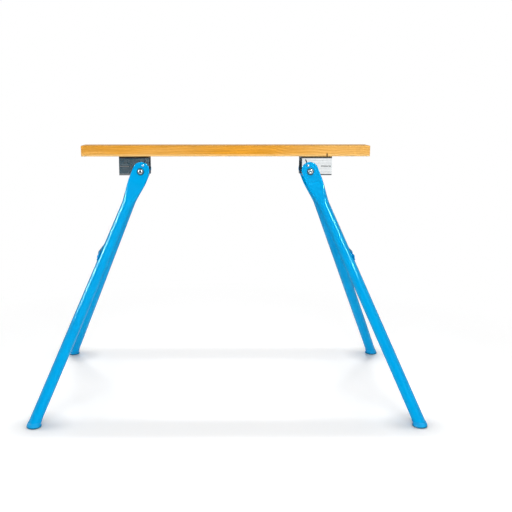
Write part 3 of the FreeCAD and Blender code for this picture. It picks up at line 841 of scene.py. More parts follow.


# Painted shade on the brackets: in the gap under the beam, in the bead's crease and along the bottom hem
BRACKET_SEAMS = (
    Seam(0.7730, 0.7800, 0.230, 0.350, 0.95),
    Seam(0.7462, 0.7498, 0.303, 0.335, 0.62),
    Seam(0.7180, 0.7230, 0.230, 0.350, 0.94),
)
PIVOT_PLACE = (0.270, 0.731)
# Spots about the pivots and stop pins: painted shade round the washers on the legs' coat, in the bolt sockets,
# and round the rims of the bolt heads and pin heads
PIVOT_SHADE_AND_GRIME, PIVOT_SOCKET, PIVOT_HEAD = (Spot(*PIVOT_PLACE, radius) for radius in (0.0122, 0.0027, 0.0066))
PIN_HEAD = Spot(0.2619, 0.7504, 0.0030)
PINE = Pine("oiled_pine", "pine", (0.90, 0.395, 0.028), 0.46)
# The legs' coat: painted shade and grime round the pivots
ENAMEL = Enamel("stoved_enamel", "blue_enamel", (0.0, 0.385, 0.80), 0.09, grime=(PIVOT_SHADE_AND_GRIME,))
RIVET_ENAMEL = Enamel("rivet_enamel", "blue_rivets", (0.0, 0.36, 0.76), 0.18)
# The brackets: painted shade in their seams and inside the channel
GALVANISED = Sheet("galvanised_steel", "galvanised_sheet", (0.88, 0.91, 0.92), 0.16, seams=BRACKET_SEAMS,
                   inner_half=0.0382)
ZINC = ZincPlate("zinc_plate", "zinc_fasteners", (0.78, 0.79, 0.80), 0.14)
# The bolts: painted shade in their sockets and round the rims of their heads
BOLT_ZINC = ZincPlate("bolt_zinc", "zinc_fasteners", (0.56, 0.60, 0.64), 0.20, dirt_colour=(0.008, 0.05, 0.08),
                      sockets=(PIVOT_SOCKET,), rims=(PIVOT_HEAD,))
# The stop pins: painted shade round the rims of their heads
PIN_ZINC = ZincPlate("pin_zinc", "zinc_fasteners", (0.50, 0.70, 0.82), 0.22, dull_colour=(0.26, 0.44, 0.56),
                     dirt_colour=(0.0, 0.14, 0.30), rims=(PIN_HEAD,))
# The washers' dark zinc is painted shade round the bolt heads
SHADED_WASHER_ZINC = ZincPlate("dull_zinc", "zinc_fasteners", (0.10, 0.15, 0.18), 0.34, dull_colour=(0.05, 0.09, 0.11))
# The feet: painted shade along the soles' lowest edge
PLASTIC = MouldedPlastic("moulded_plastic", "blue_plastic", (0.0, 0.365, 0.76), 0.36)


# Pressed tubes

@dataclass
class Rows:
    """Sections of a tube that is pressed flat, one entry a ring.

    A section is a flat crown with a rounded side at each end.

    Attributes:
        spread: Half width of the crown.
        edge: Half width of a side.
        thick: Half thickness of a side.
        crown: Angle over which the crown bulges as it rounds.
        ridge: Height of the crease between crown and side.
    """

    spread: Array
    edge: Array
    thick: Array
    crown: Array
    ridge: Array

    def then(self, other: "Rows") -> "Rows":
        """These rows followed by others."""
        return Rows(*(np.concatenate([getattr(self, key), getattr(other, key)]) for key in self.__dict__))

    def reversed(self) -> "Rows":
        """The rows in the other order."""
        return Rows(*(getattr(self, key)[::-1] for key in self.__dict__))


@dataclass(frozen=True)
class PressedTube:
    """A round tube whose ends are pressed flat and cut to a half circle.

    Attributes:
        radius: Radius of the tube.
        wall: Thickness of its wall.
        crease: Height of the creases where it goes from flat to round.
        full_crown: Angle over which the crown bulges where the tube is round.
        steady: Share of the swage's rounding that is even. The rest is eased at both ends.
        crown_steps: Points across the crown.
        side_steps: Points round a side.
        first_turn: Angle of the tip's first ring.
    """

    radius: float
    wall: float
    crease: float
    full_crown: float = math.radians(22)
    steady: float = 0.6
    crown_steps: int = 10
    side_steps: int = 20
    first_turn: float = math.radians(4)

    @property
    def spread(self) -> float:
        """Half width of the flat crown: the tube's middle line keeps its length when it is pressed."""
        return math.pi / 2 * (self.radius - self.wall)

    @property
    def half_width(self) -> float:
        """Half width of the pressed end."""
        return self.spread + self.wall

    def tip_turns(self, count: int) -> Array:
        """Angles from the top of the tip to its side."""
        return np.linspace(self.first_turn, math.pi / 2, count)

    def tip(self, count: int) -> Rows:
        """Sections of the half-round tip, from its top down.

        At angle t from the top the half width is R sin t. Its rounded edge is cut at a slant, so it is wall /
        sin t wide, and above R - wall the thickness follows the rounding's own circle.

        Args:
            count: Number of rings.

        Returns:
            The sections.
        """
        turn = self.tip_turns(count)
        width = self.half_width * np.sin(turn)
        edge = np.minimum(self.wall / np.sin(turn), width)
        over = np.clip(self.half_width * (np.cos(turn) - 1) + self.wall, 0, self.wall)
        thick = np.sqrt(self.wall ** 2 - over ** 2)
        return Rows(width - edge, edge, thick, 0 * turn, 0 * turn)

    def swage(self, share: Array) -> Rows:
        """Sections that go from pressed flat at share 0 to round at share 1.

        The crown narrows to a point and the sides' radius grows as radius - 2 spread / pi, so the length
        round the section stays the same. The crease is highest past the middle.

        Args:
            share: How far along the swage each ring is.

        Returns:
            The sections.
        """
        eased = self.steady * share + (1 - self.steady) * share * share * (3 - 2 * share)
        spread = self.spread * (1 - eased)
        side = self.radius - 2 * spread / math.pi
        ridge = self.crease * 3 * np.sin(np.pi * share) ** 2 * share ** 3
        return Rows(spread, side, side, self.full_crown * eased, ridge)

    def rings(self, rows: Rows, middles: Array, wide: Array, thick: Array) -> Array:
        """Place sections along a path.

        A crown point at share s is at (spread s + edge sin(crown s), thick cos(crown s)), and a side point at
        angle f is at (spread + edge cos f, thick sin f), both mirrored for the other half.

        Args:
            rows: The sections.
            middles: Middle of each.
            wide: Direction of each section's width.
            thick: Direction of each section's thickness.

        Returns:
            Rings by columns by 3.
        """
        crown = np.linspace(1, -1, self.crown_steps, endpoint=False)
        side = np.linspace(-1, 1, self.side_steps, endpoint=False)
        spread, edge, deep, bulge, ridge = (
            value[:, None] for value in (rows.spread, rows.edge, rows.thick, rows.crown, rows.ridge))
        turn = side * (math.pi / 2 - bulge)
        across = np.hstack([spread + edge * np.cos(turn), spread * crown + edge * np.sin(bulge * crown)])
        crown_corner = ridge * (np.abs(crown) == 1)
        side_corner = ridge * (side == -1)
        up = np.hstack([deep * np.sin(turn) - side_corner, deep * np.cos(bulge * crown) + crown_corner])
        across = np.hstack([across, -across])[..., None]
        up = np.hstack([up, -up])[..., None]
        return middles[:, None] + across * wide[:, None] + up * thick[:, None]


# Sub-assemblies

@dataclass
class Beam:
    """The timber that the work lies on.

    Attributes:
        node: Its CAD node.
        arris: Radius of the long edges.
        end_ease: Radius that the sawn ends are eased to.
        ease_steps: Rings on each eased end.
        corner_steps: Points on each rounded corner of the section.
        length_steps: Rings along the beam between its eased ends.
        sharp: Angle from which an edge is shaded sharp.
    """

    node: str = "top_beam"
    arris: float = 0.0042
    end_ease: float = 0.0012
    ease_steps: int = 5
    corner_steps: int = 9
    length_steps: int = 40
    sharp: float = 50.0

    def section(self, width: float, thickness: float, inset: float) -> Array:
        """A rounded rectangle in Y and Z, with a quarter circle at each corner.

        Args:
            width: Full width of the beam.
            thickness: Its full thickness.
            inset: How far the section lies inside the beam's faces.

        Returns:
            Points by 2.
        """
        half = np.array([width / 2, thickness / 2]) - self.arris
        turn = np.radians(np.linspace(0, 90, self.corner_steps)[None] + np.arange(0, 360, 90)[:, None])
        corners = half * np.array([[1, 1], [-1, 1], [-1, -1], [1, -1]])
        radius = max(self.arris - inset, self.arris / 4)
        points = corners[:, None] + radius * np.stack([np.cos(turn), np.sin(turn)], axis=-1)
        return points.reshape(-1, 2)

    def build(self) -> None:
        """Carry the section along X, drawn in at both ends by a quarter circle."""
        low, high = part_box(self.node)
        size, middle = high - low, (high + low) / 2
        lead, inset = (self.end_ease - arc((0, 0), self.end_ease, 0, 90, self.ease_steps)).T
        along = np.linspace(low.x + self.end_ease, high.x - self.end_ease, self.length_steps)[1:-1]
        places = np.concatenate([low.x + lead, along, (high.x - lead)[::-1]])
        insets = np.concatenate([inset, 0 * along, inset[::-1]])
        rings = np.stack([
            np.insert(self.section(size.y, size.z, depth), 0, x - middle.x, axis=1)
            for x, depth in zip(places, insets)
        ]) + np.array(middle)
        add_piece("pine_beam", loft(rings), PINE, Body.BEAM, self.node, sharp=self.sharp)


@dataclass
class Bracket:
    """A pressed bracket and the screws that hold it to the beam."""

    end: End

    def build(self) -> None:
        """Dress the bracket and its screws, whose CAD shapes are right."""
        dress_node(f"{self.end.word}_bracket", GALVANISED)
        dress_node(f"{self.end.word}_bracket_screws", ZINC)


@dataclass
class Pivot:
    """The bolt that one leg head turns on, with its washer, spacer and nut.

    Attributes:
        end: The end that it is at.
        depth: The side that it is on.
        bolt_radius: Radius of the shank.
        head_radius: Radius of the button head.
        head_height: Height of the head.
        head_rim: Height of the head's rim.
        head_steps: Rings on the head's dome.
        chamfer: Size of the small chamfers on the head.
        socket_flats: Size of the hexagon socket across its flats.
        socket_depth: Its depth.
        socket_floor: Radius and depth of the drill's mark in its floor.
        socket_land: Width of the flat round it.
        washer_radius: Radius of the washer.
        washer_thickness: Its thickness.
        washer_edge: Radius of its edges.
        washer_bore: Radius of its hole.
        thread_length: Length of the thread.
        thread_end: Distance from the end of the shank to the end of the thread.
        thread_depth: Depth of the thread.
        thread_steps: Rings in each pitch of the thread.
        pitch: Pitch of the thread.
        columns: Points round each ring.
    """

    end: End
    depth: Depth
    bolt_radius: float = 0.004
    head_radius: float = 0.008
    head_height: float = 0.005
    head_rim: float = 0.0012
    head_steps: int = 12
    chamfer: float = 0.0003
    socket_flats: float = 0.005
    socket_depth: float = 0.0026
    socket_floor: float = 0.0008
    socket_land: float = 0.0009
    washer_radius: float = 0.010
    washer_thickness: float = 0.0016
    washer_edge: float = 0.0004
    washer_bore: float = 0.00405
    thread_length: float = 0.013
    thread_end: float = 0.001
    thread_depth: float = 0.0005
    thread_steps: int = 6
    pitch: float = 0.00125
    columns: int = 48

    def node(self, piece: str) -> str:
        """Name of one of the pivot's pieces."""
        return f"{self.end.word}_{self.depth.word}_pivot_{piece}"

    def bolt_rings(self, tail: float) -> Array:
        """A button head with a hexagon socket on a threaded shank.

        The head is an arc from its rim to its flat top. The socket's rings are hexagons. The thread's radius
        is the shank's less a triangle wave of height / pitch - turn.

        Args:
            tail: Length of the shank under the head.

        Returns:
            Rings by columns by 3, from the socket's floor to the end of the shank.
        """
        turn = full_turn(self.columns)
        top, half = self.head_height, self.socket_flats / 2
        floor = top - self.socket_depth
        socket = lathe(np.array([[self.socket_floor, floor - self.socket_floor], [half, floor],
                                 [half, top - self.chamfer], [half + self.chamfer, top]]), self.columns)
        socket[1:, :, :2] *= (hexagon_radius(self.socket_flats, turn) / half)[:, None]
        button = dome(half + self.socket_land, self.head_radius, self.head_rim, top, 0.0, self.head_steps)
        under = np.array([[self.head_radius, self.chamfer], [self.head_radius - self.chamfer, 0],
                          [self.bolt_radius, 0], [self.bolt_radius, self.thread_length - tail]])
        height = np.arange(self.thread_length, self.thread_end, -self.pitch / self.thread_steps) - tail
        wave = np.abs(((height[:, None] / self.pitch - turn / (2 * np.pi)) % 1) * 2 - 1)
        fade = np.clip((height + tail) / self.pitch / 2, 0, 1)[:, None]
        radius = self.bolt_radius - self.thread_depth * (1 - fade) - self.thread_depth * wave * fade
        thread = rings_about_z(radius, height[:, None], turn)
        end = np.array([[self.bolt_radius - 2 * self.thread_depth, -tail]])
        return np.concatenate([socket, lathe(np.vstack([button, under]), self.columns), thread,
                               lathe(end, self.columns)])

    def washer_rings(self) -> Array:
        """A flat ring with eased edges, as a closed profile turned about its axis."""
        edge = self.washer_edge
        low, high = edge, self.washer_thickness - edge
        inner, outer = self.washer_bore + edge, self.washer_radius - edge
        corners = ((outer, low), (outer, high), (inner, high), (inner, low))
        profile = np.vstack([arc(corner, edge, 90 * number - 90, 90 * number, 4)
                             for number, corner in enumerate(corners)])
        return lathe(profile, self.columns)

    def build(self, middle: Vector) -> None:
        """Make the bolt and washer, and dress the spacer and nut.

        Args:
            middle: The pivot's middle.
        """
        near, _ = reach(self.node("bolt"))
        _, seat = reach(self.node("washer"))
        bolt = facing(self.bolt_rings(seat - near), self.depth, middle, seat)
        add_piece(self.node("button_bolt"), loft(bolt), BOLT_ZINC, Body.BEAM, self.node("bolt"))
        washer = facing(self.washer_rings(), self.depth, middle, seat - self.washer_thickness)
        # The washer's dark zinc is painted shade round the bolt head
        add_piece(self.node("flat_washer"), loft(washer, True), SHADED_WASHER_ZINC, Body.BEAM, self.node("washer"))
        for piece in ("spacer", "nut"):
            dress_node(self.node(piece), ZINC)


@dataclass(frozen=True)
class Foot:
    """A round sole with grooves below, that flares up to a lip round the slanting tube.

    Attributes:
        grooves: Radius where each groove starts.
        groove_depth: Depth of a groove.
        groove_slope: Width of a groove's sloping side.
        groove_width: Width from the start of a groove to the end of its floor.
        edge: Radius of the sole's edges.
        shoulder: Height of the middle of the upper edge's arc.
        shoulder_stop: Angle in degrees where that arc goes over into the flare.
        lip_height: Height where the lip begins to round.
        lip_wall: Thickness of the lip outside the tube.
        lip_round: Height of the lip's rounding.
        lip_shares: Shares of the wall that the rounding's rings lie at, the last inside the tube.
        lip_turns: Angles in degrees that set their heights.
        rise_power: Power that the flare's height grows by.
        draw_power: Power by which the flare is drawn from the sole's circle to the tube.
        flare_steps: Rings on the flare.
        columns: Points round each ring.
    """

    grooves: Triple = (0.006, 0.011, 0.016)
    groove_depth: float = 0.0011
    groove_slope: float = 0.0004
    groove_width: float = 0.0022
    edge: float = 0.0016
    shoulder: float = 0.0034
    shoulder_stop: float = 70.0
    lip_height: float = 0.0150
    lip_wall: float = 0.0011
    lip_round: float = 0.0005
    lip_shares: Triple = (0.7, 0.3, -0.6)
    lip_turns: Triple = (45, 90, 90)
    rise_power: float = 1.9
    draw_power: float = 1.7
    flare_steps: int = 14
    columns: int = 64

    def sole_profile(self, radius: float) -> Array:
        """Radius and height of a sole's rings, from the first groove outwards and round the edges.

        Args:
            radius: Radius of the sole.

        Returns:
            Points by 2.
        """
        slope, width, depth = self.groove_slope, self.groove_width, self.groove_depth
        groove = np.array([[0, 0], [slope, depth], [width, depth], [width + slope, 0]])
        starts = np.array([[[start, 0]] for start in self.grooves])
        return np.vstack([
            (starts + groove).reshape(-1, 2),
            arc((radius - self.edge, self.edge), self.edge, -90, 0),
            arc((radius - self.edge, self.shoulder), self.edge, 0, self.shoulder_stop),
        ])

    def rings(self, centre: Array, axis: Array, sole_radius: float, tube_radius: float) -> Array:
        """Rings of the foot, from the underside up.

        At height z the tube's outline is an ellipse about its axis, R wide across the lean and R / cos(lean)
        along it. The flare's rings go from the sole's circle to that ellipse.

        Args:
            centre: Where the tube's axis meets the level of its end.
            axis: Direction of the tube, downwards.
            sole_radius: Radius of the sole.
            tube_radius: Radius of the tube.

        Returns:
            Rings by columns by 3.
        """
        lean = axis[:2] / -axis[2]
        slope = np.linalg.norm(lean)
        along = np.append(lean / slope, 0)
        across = np.array([-along[1], along[0], 0])
        turn = full_turn(self.columns)[:, None]
        spoke = np.cos(turn) * along + np.sin(turn) * across
        oval = np.cos(turn) * along * math.hypot(1, slope) + np.sin(turn) * across
        rim = self.sole_profile(sole_radius)
        ground, up = np.array([centre[0], centre[1], 0]), np.array([0, 0, 1.0])
        sole = ground + rim[:, 0, None, None] * spoke + rim[:, 1, None, None] * up
        rim_radius, rim_height = rim[-1]
        step = np.linspace(0, 1, self.flare_steps)
        level = np.append(rim_height + (self.lip_height - rim_height) * step ** self.rise_power,
                          self.lip_height + self.lip_round * np.sin(np.radians(self.lip_turns)))
        radius = tube_radius + self.lip_wall * np.append(np.ones(len(step)), self.lip_shares)
        share = np.append(1 - (1 - step) ** self.draw_power, np.ones(len(self.lip_shares)))[:, None, None]
        middle = centre - np.append(lean, 0) * (level - centre[2])[:, None]
        middle[:, 2] = level
        tube = middle[:, None] + radius[:, None, None] * oval
        circle = (ground + level[:, None] * up)[:, None] + rim_radius * spoke
        flare = circle * (1 - share) + tube * share
        return np.concatenate([sole, flare[1:]])


@dataclass(frozen=True)
class Rivet:
    """A blind rivet: a dome with the mandrel's dimple, and a shank.

    Attributes:
        radius: Radius of the dome.
        height: Height of the dome.
        dimple: Radius of each ring of the dimple, and its depth under the dome's top.
        dome_start: Angle where the dome starts outside the dimple.
        dome_steps: Rings on the dome.
        sink: How far the dome is pressed into what it holds.
        shank: Length of the shank.
        columns: Points round each ring.
    """

    radius: float = 0.0065
    height: float = 0.0032
    dimple: tuple[Pair, ...] = ((0.0004, 0.0012), (0.0016, 0.0011), (0.0018, 0.0001))
    dome_start: float = 0.35
    dome_steps: int = 9
    sink: float = 0.00002
    shank: float = 0.0055
    columns: int = 36

    def rings(self) -> Array:
        """The rivet about the Z axis, with its seat at Z 0."""
        shank_radius = self.radius / 2
        return lathe(np.vstack([
            [(radius, self.height - depth) for radius, depth in self.dimple],
            dome(0.0, self.radius, 0.0, self.height, self.dome_start, self.dome_steps),
            [[self.radius, -self.sink], [shank_radius, -self.sink], [shank_radius, -self.shank]],
        ]), self.columns)


@dataclass(frozen=True)
class StopPin:
    """A stop pin: a dome on a shank of two thirds of its radius.

    Attributes:
        radius: Radius of the dome.
        height: Height of the dome.
        edge: Height of the dome's rim and size of the chamfer on the shank's end.
        dome_start: Angle of the dome's first ring.
        dome_steps: Rings on the dome.
        columns: Points round each ring.
    """

    radius: float = 0.0045
    height: float = 0.003
    edge: float = 0.0005
    dome_start: float = 0.12
    dome_steps: int = 10
    columns: int = 40

    def rings(self, tail: float) -> Array:
        """The pin about the Z axis, with its seat at Z 0 and a shank that ends at -tail."""
        shank = self.radius * 2 / 3
        return lathe(np.vstack([
            dome(0.0, self.radius, self.edge, self.height, self.dome_start, self.dome_steps),
            [[self.radius, 0.0], [shank, 0.0], [shank, self.edge - tail], [shank - self.edge, -tail]],
        ]), self.columns)


@dataclass
class LegFrame:
    """Two legs with their feet and stop pins, and the brace across them.

    The pieces are worked out hanging straight down from the pivot and are then swung outwards.

    Attributes:
        end: The end that it is at.
        tube: Tube of the legs.
        bar: Tube of the brace.
        foot: Shape of a foot.
        rivet: Shape of a rivet.
        pin: Shape of a stop pin.
        head_middle: Distance from the middle of the beam to the middle of a flat head.
        head_rise: Height of the middle of the head's half circle over the pivot.
        head_reach: Distance from the pivot down to the end of the flat head.
        head_swage: Length over which the head goes from flat to round.
        bend_lead: Length of the bend before and after the swage.
        sole_height: Height where the tubes end.
        brace_reach: Distance from the pivot down to the brace.
        brace_gap: Gap between legs and brace.
        brace_lug: Length of the brace's flat ends inside the rivets.
        brace_swage: Length over which the brace goes from flat to round.
        tip_steps: Rings on a half-round tip.
        swage_steps: Rings on a swage.
        tube_steps: Rings along a straight tube.
        sharp: Angle from which an edge of a tube or foot is shaded sharp.
    """

    end: End
    tube: PressedTube = PressedTube(radius=0.0175, wall=0.0016, crease=0.0007)
    bar: PressedTube = PressedTube(radius=0.0095, wall=0.0012, crease=0.0003, crown_steps=6, side_steps=14)
    foot: Foot = Foot()
    rivet: Rivet = Rivet()
    pin: StopPin = StopPin()
    head_middle: float = 0.0431
    head_rise: float = 0.004
    head_reach: float = 0.036
    head_swage: float = 0.080
    bend_lead: float = 0.016
    sole_height: float = 0.0085
    brace_reach: float = 0.286
    brace_gap: float = 0.00005
    brace_lug: float = 0.028
    brace_swage: float = 0.032
    tip_steps: int = 22
    swage_steps: int = 40
    tube_steps: int = 16
    sharp: float = 40.0

    @property
    def body(self) -> Body:
        """The body of this leg frame."""
        return Body.legs(self.end)

    @property
    def pivot(self) -> Vector:
        """The middle of the fold's axis."""
        joint = next(joint for joint in frame["joints"] if joint["child"] == self.body.value)
        return Vector(joint["pos_m"])

    def node(self, depth: Depth, piece: str) -> str:
        """Name of a piece of one leg."""
        return f"{self.end.word}_{depth.word}_{piece}"

    def sole_middle(self, depth: Depth) -> Array:
        """Where a leg's axis ends over its sole, from the record's mount on the floor."""
        mount = next(mount for mount in frame["record"]["mounts"] if mount["name"] == "sole")
        x, y, _ = mount["pos_m"]
        return np.array([self.end.value * abs(x), depth.value * abs(y), self.sole_height])

    @property
    def sole_radius(self) -> float:
        """Radius of a sole, from the outer edge of its CAD node."""
        low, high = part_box(self.node(Depth.FRONT, "foot"))
        return max(abs(low.x), abs(high.x)) - abs(self.sole_middle(Depth.FRONT)[0])

    @property
    def tilt(self) -> float:
        """Angle that the frame is swung outwards from hanging."""
        away = self.sole_middle(Depth.FRONT) - np.array(self.pivot)
        return math.atan2(abs(away[0]), -away[2])

    def turned(self, points: Array, sign: int) -> Array:
        """Turn points by the tilt t, times a sign: x' = x cos t - z sin t and z' = x sin t + z cos t."""
        sine, cosine = sign * self.end.value * math.sin(self.tilt), math.cos(self.tilt)
        x, y, z = np.moveaxis(points, -1, 0)
        return np.stack([x * cosine - z * sine, y, x * sine + z * cosine], axis=-1)

    def swung(self, points: Array) -> Array:
        """Hanging points, with the pivot at 0, as they are in the part's frame."""
        return self.turned(points, 1) + np.array(self.pivot)

    def hung(self, points: Array) -> Array:
        """Points of the part's frame as they are before the frame is swung outwards."""
        return self.turned(points - np.array(self.pivot), -1)

    def leg_path(self, depth: Depth) -> tuple[Array, Array, Array]:
        """The points of a leg's bend: its start in the flat head, its knee and its end in the round tube."""
        knee = np.array([0, depth.value * self.head_middle, -self.head_reach - self.head_swage / 2])
        down = self.hung(self.sole_middle(depth)) - knee
        down /= np.linalg.norm(down)
        half = self.head_swage / 2 + self.bend_lead
        return knee + np.array([0, 0, half]), knee, knee + down * half

    def leg_axis(self, depth: Depth) -> Array:
        """Direction of a leg's straight tube, downwards in the part's frame."""
        _, knee, finish = self.leg_path(depth)
        axis = self.swung(finish) - self.swung(knee)
        return axis / np.linalg.norm(axis)

    def leg_rings(self, depth: Depth) -> Array:
        """A tube with a flat half-round head, bent outwards below it and cut level at the sole.

        The bend is a quadratic curve through the three points of the path. Each column of the straight tube
        runs down the axis until it meets the level of the tube's end.

        Args:
            depth: Which leg.

        Returns:
            Rings by columns by 3 in the part's frame.
        """
        start, knee, finish = self.leg_path(depth)
        tip_height = self.head_rise + self.tube.half_width * np.cos(self.tube.tip_turns(self.tip_steps))
        head = np.stack([0 * tip_height, 0 * tip_height + start[1], tip_height], axis=-1)
        step = np.linspace(0, 1, self.swage_steps)
        bend_length = self.head_swage + 2 * self.bend_lead
        share = np.clip((step * bend_length - self.bend_lead) / self.head_swage, 0, 1)
        s = step[:, None]
        bend = start * (1 - s) ** 2 + knee * 2 * s * (1 - s) + finish * s ** 2
        heading = (knee - start) * (1 - s) + (finish - knee) * s
        heading = np.vstack([np.tile([0, 0, -1.0], (len(head), 1)), heading])
        heading /= np.linalg.norm(heading, axis=1, keepdims=True)
        wide = np.tile([1.0, 0, 0], (len(heading), 1))
        rows = self.tube.tip(self.tip_steps).then(self.tube.swage(share))
        rings = self.swung(self.tube.rings(rows, np.vstack([head, bend]), wide, np.cross(heading, wide)))
        axis = self.leg_axis(depth)
        run = (self.sole_height - rings[-1][:, 2]) / axis[2]
        steps = np.linspace(0, 1, self.tube_steps)[1:, None, None]
        return np.concatenate([rings, rings[-1] + steps * run[:, None] * axis])

    def foot_rings(self, depth: Depth) -> Array:
        """The foot on one leg."""
        sole = self.sole_middle(depth)
        return self.foot.rings(sole, self.leg_axis(depth), self.sole_radius, self.tube.radius)

    @property
    def brace_half(self) -> float:
        """Distance from the middle of the brace to its rivets."""
        _, knee, finish = self.leg_path(Depth.REAR)
        axis = finish - knee
        return knee[1] + (-self.brace_reach - knee[2]) * axis[1] / axis[2]

    @property
    def brace_offset(self) -> float:
        """Distance from the legs' axes to the middle of the brace."""
        return self.tube.radius + self.brace_gap + self.bar.wall

    def brace_rings(self) -> Array:
        """A thin tube along Y with both ends pressed flat, mirrored about its middle."""
        flat = self.brace_half - self.brace_lug
        tip = self.brace_half + self.bar.half_width * np.cos(self.bar.tip_turns(self.tip_steps))
        share = np.linspace(0, 1, self.swage_steps)
        along = np.concatenate([tip, flat - self.brace_swage * share])
        along = np.concatenate([along, -along[::-1]])
        rows = self.bar.tip(self.tip_steps).then(self.bar.swage(share))
        rows = rows.then(rows.reversed())
        x = self.end.value * self.brace_offset
        middles = np.stack([0 * along + x, along, 0 * along - self.brace_reach], axis=-1)
        wide, thick = (np.tile(way, (len(along), 1)) for way in ([0, 0, 1.0], [1.0, 0, 0]))
        return self.swung(self.bar.rings(rows, middles, wide, thick))

    def rivet_rings(self, depth: Depth) -> Array:
        """A rivet through the brace's flat end into the leg, with its axis along X."""
        x, y, z = np.moveaxis(self.rivet.rings(), -1, 0)
        out = self.end.value
        seat = self.brace_offset + self.bar.wall
        return self.swung(np.stack([
            out * (seat + z), depth.value * self.brace_half + x, -self.brace_reach + out * y], axis=-1))

    def pin_rings(self, depth: Depth) -> Array:
        """A stop pin where its CAD node is."""
        node = self.node(depth, "stop_pin")
        low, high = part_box(node)
        near, far = reach(node)
        seat = far - self.pin.height
        return facing(self.pin.rings(seat - near), depth, (low + high) / 2, seat)

    def add(self, name: str, rings: Array, finish: Finish, node: str, sharp: float = SHARP_ANGLE) -> None:
        """Add rings as a piece of this frame, in place of a CAD node."""
        add_piece(name, loft(rings), finish, self.body, node, sharp=sharp)

    def build(self) -> None:
        """Make the legs, feet, stop pins, brace and rivets."""
        word = self.end.word
        for depth in Depth:
            leg, foot, pin = (self.node(depth, piece) for piece in ("leg", "foot", "stop_pin"))
            self.add(self.node(depth, "tube_leg"), self.leg_rings(depth), ENAMEL, leg, self.sharp)
            self.add(self.node(depth, "moulded_foot"), self.foot_rings(depth), PLASTIC, foot, self.sharp)
            self.add(self.node(depth, "domed_pin"), self.pin_rings(depth), PIN_ZINC, pin)
        self.add(f"{word}_cross_bar", self.brace_rings(), ENAMEL, f"{word}_brace", self.sharp)
        for depth in Depth:
            rivet = self.node(depth, "brace_rivet")
            self.add(rivet, self.rivet_rings(depth), RIVET_ENAMEL, f"{word}_brace_rivets")


# Studio

class Strip(NamedTuple):
    """A light strip whose image in the gloss is a line along the tubes.

    Attributes:
        end: The end whose tubes it is for.
        low: Its lower end.
        high: Its upper end.
        width: Its width.
        watts: Its power.
    """

    end: End
    low: Triple
    high: Triple
    width: float
    watts: float


STRIPS = (
    Strip(End.LEFT, (-2.34, -0.42, 1.42), (-1.96, -0.36, 2.10), 0.46, 125),
    Strip(End.RIGHT, (1.37, -1.59, 1.78), (1.12, -1.32, 2.28), 0.42, 104),
)


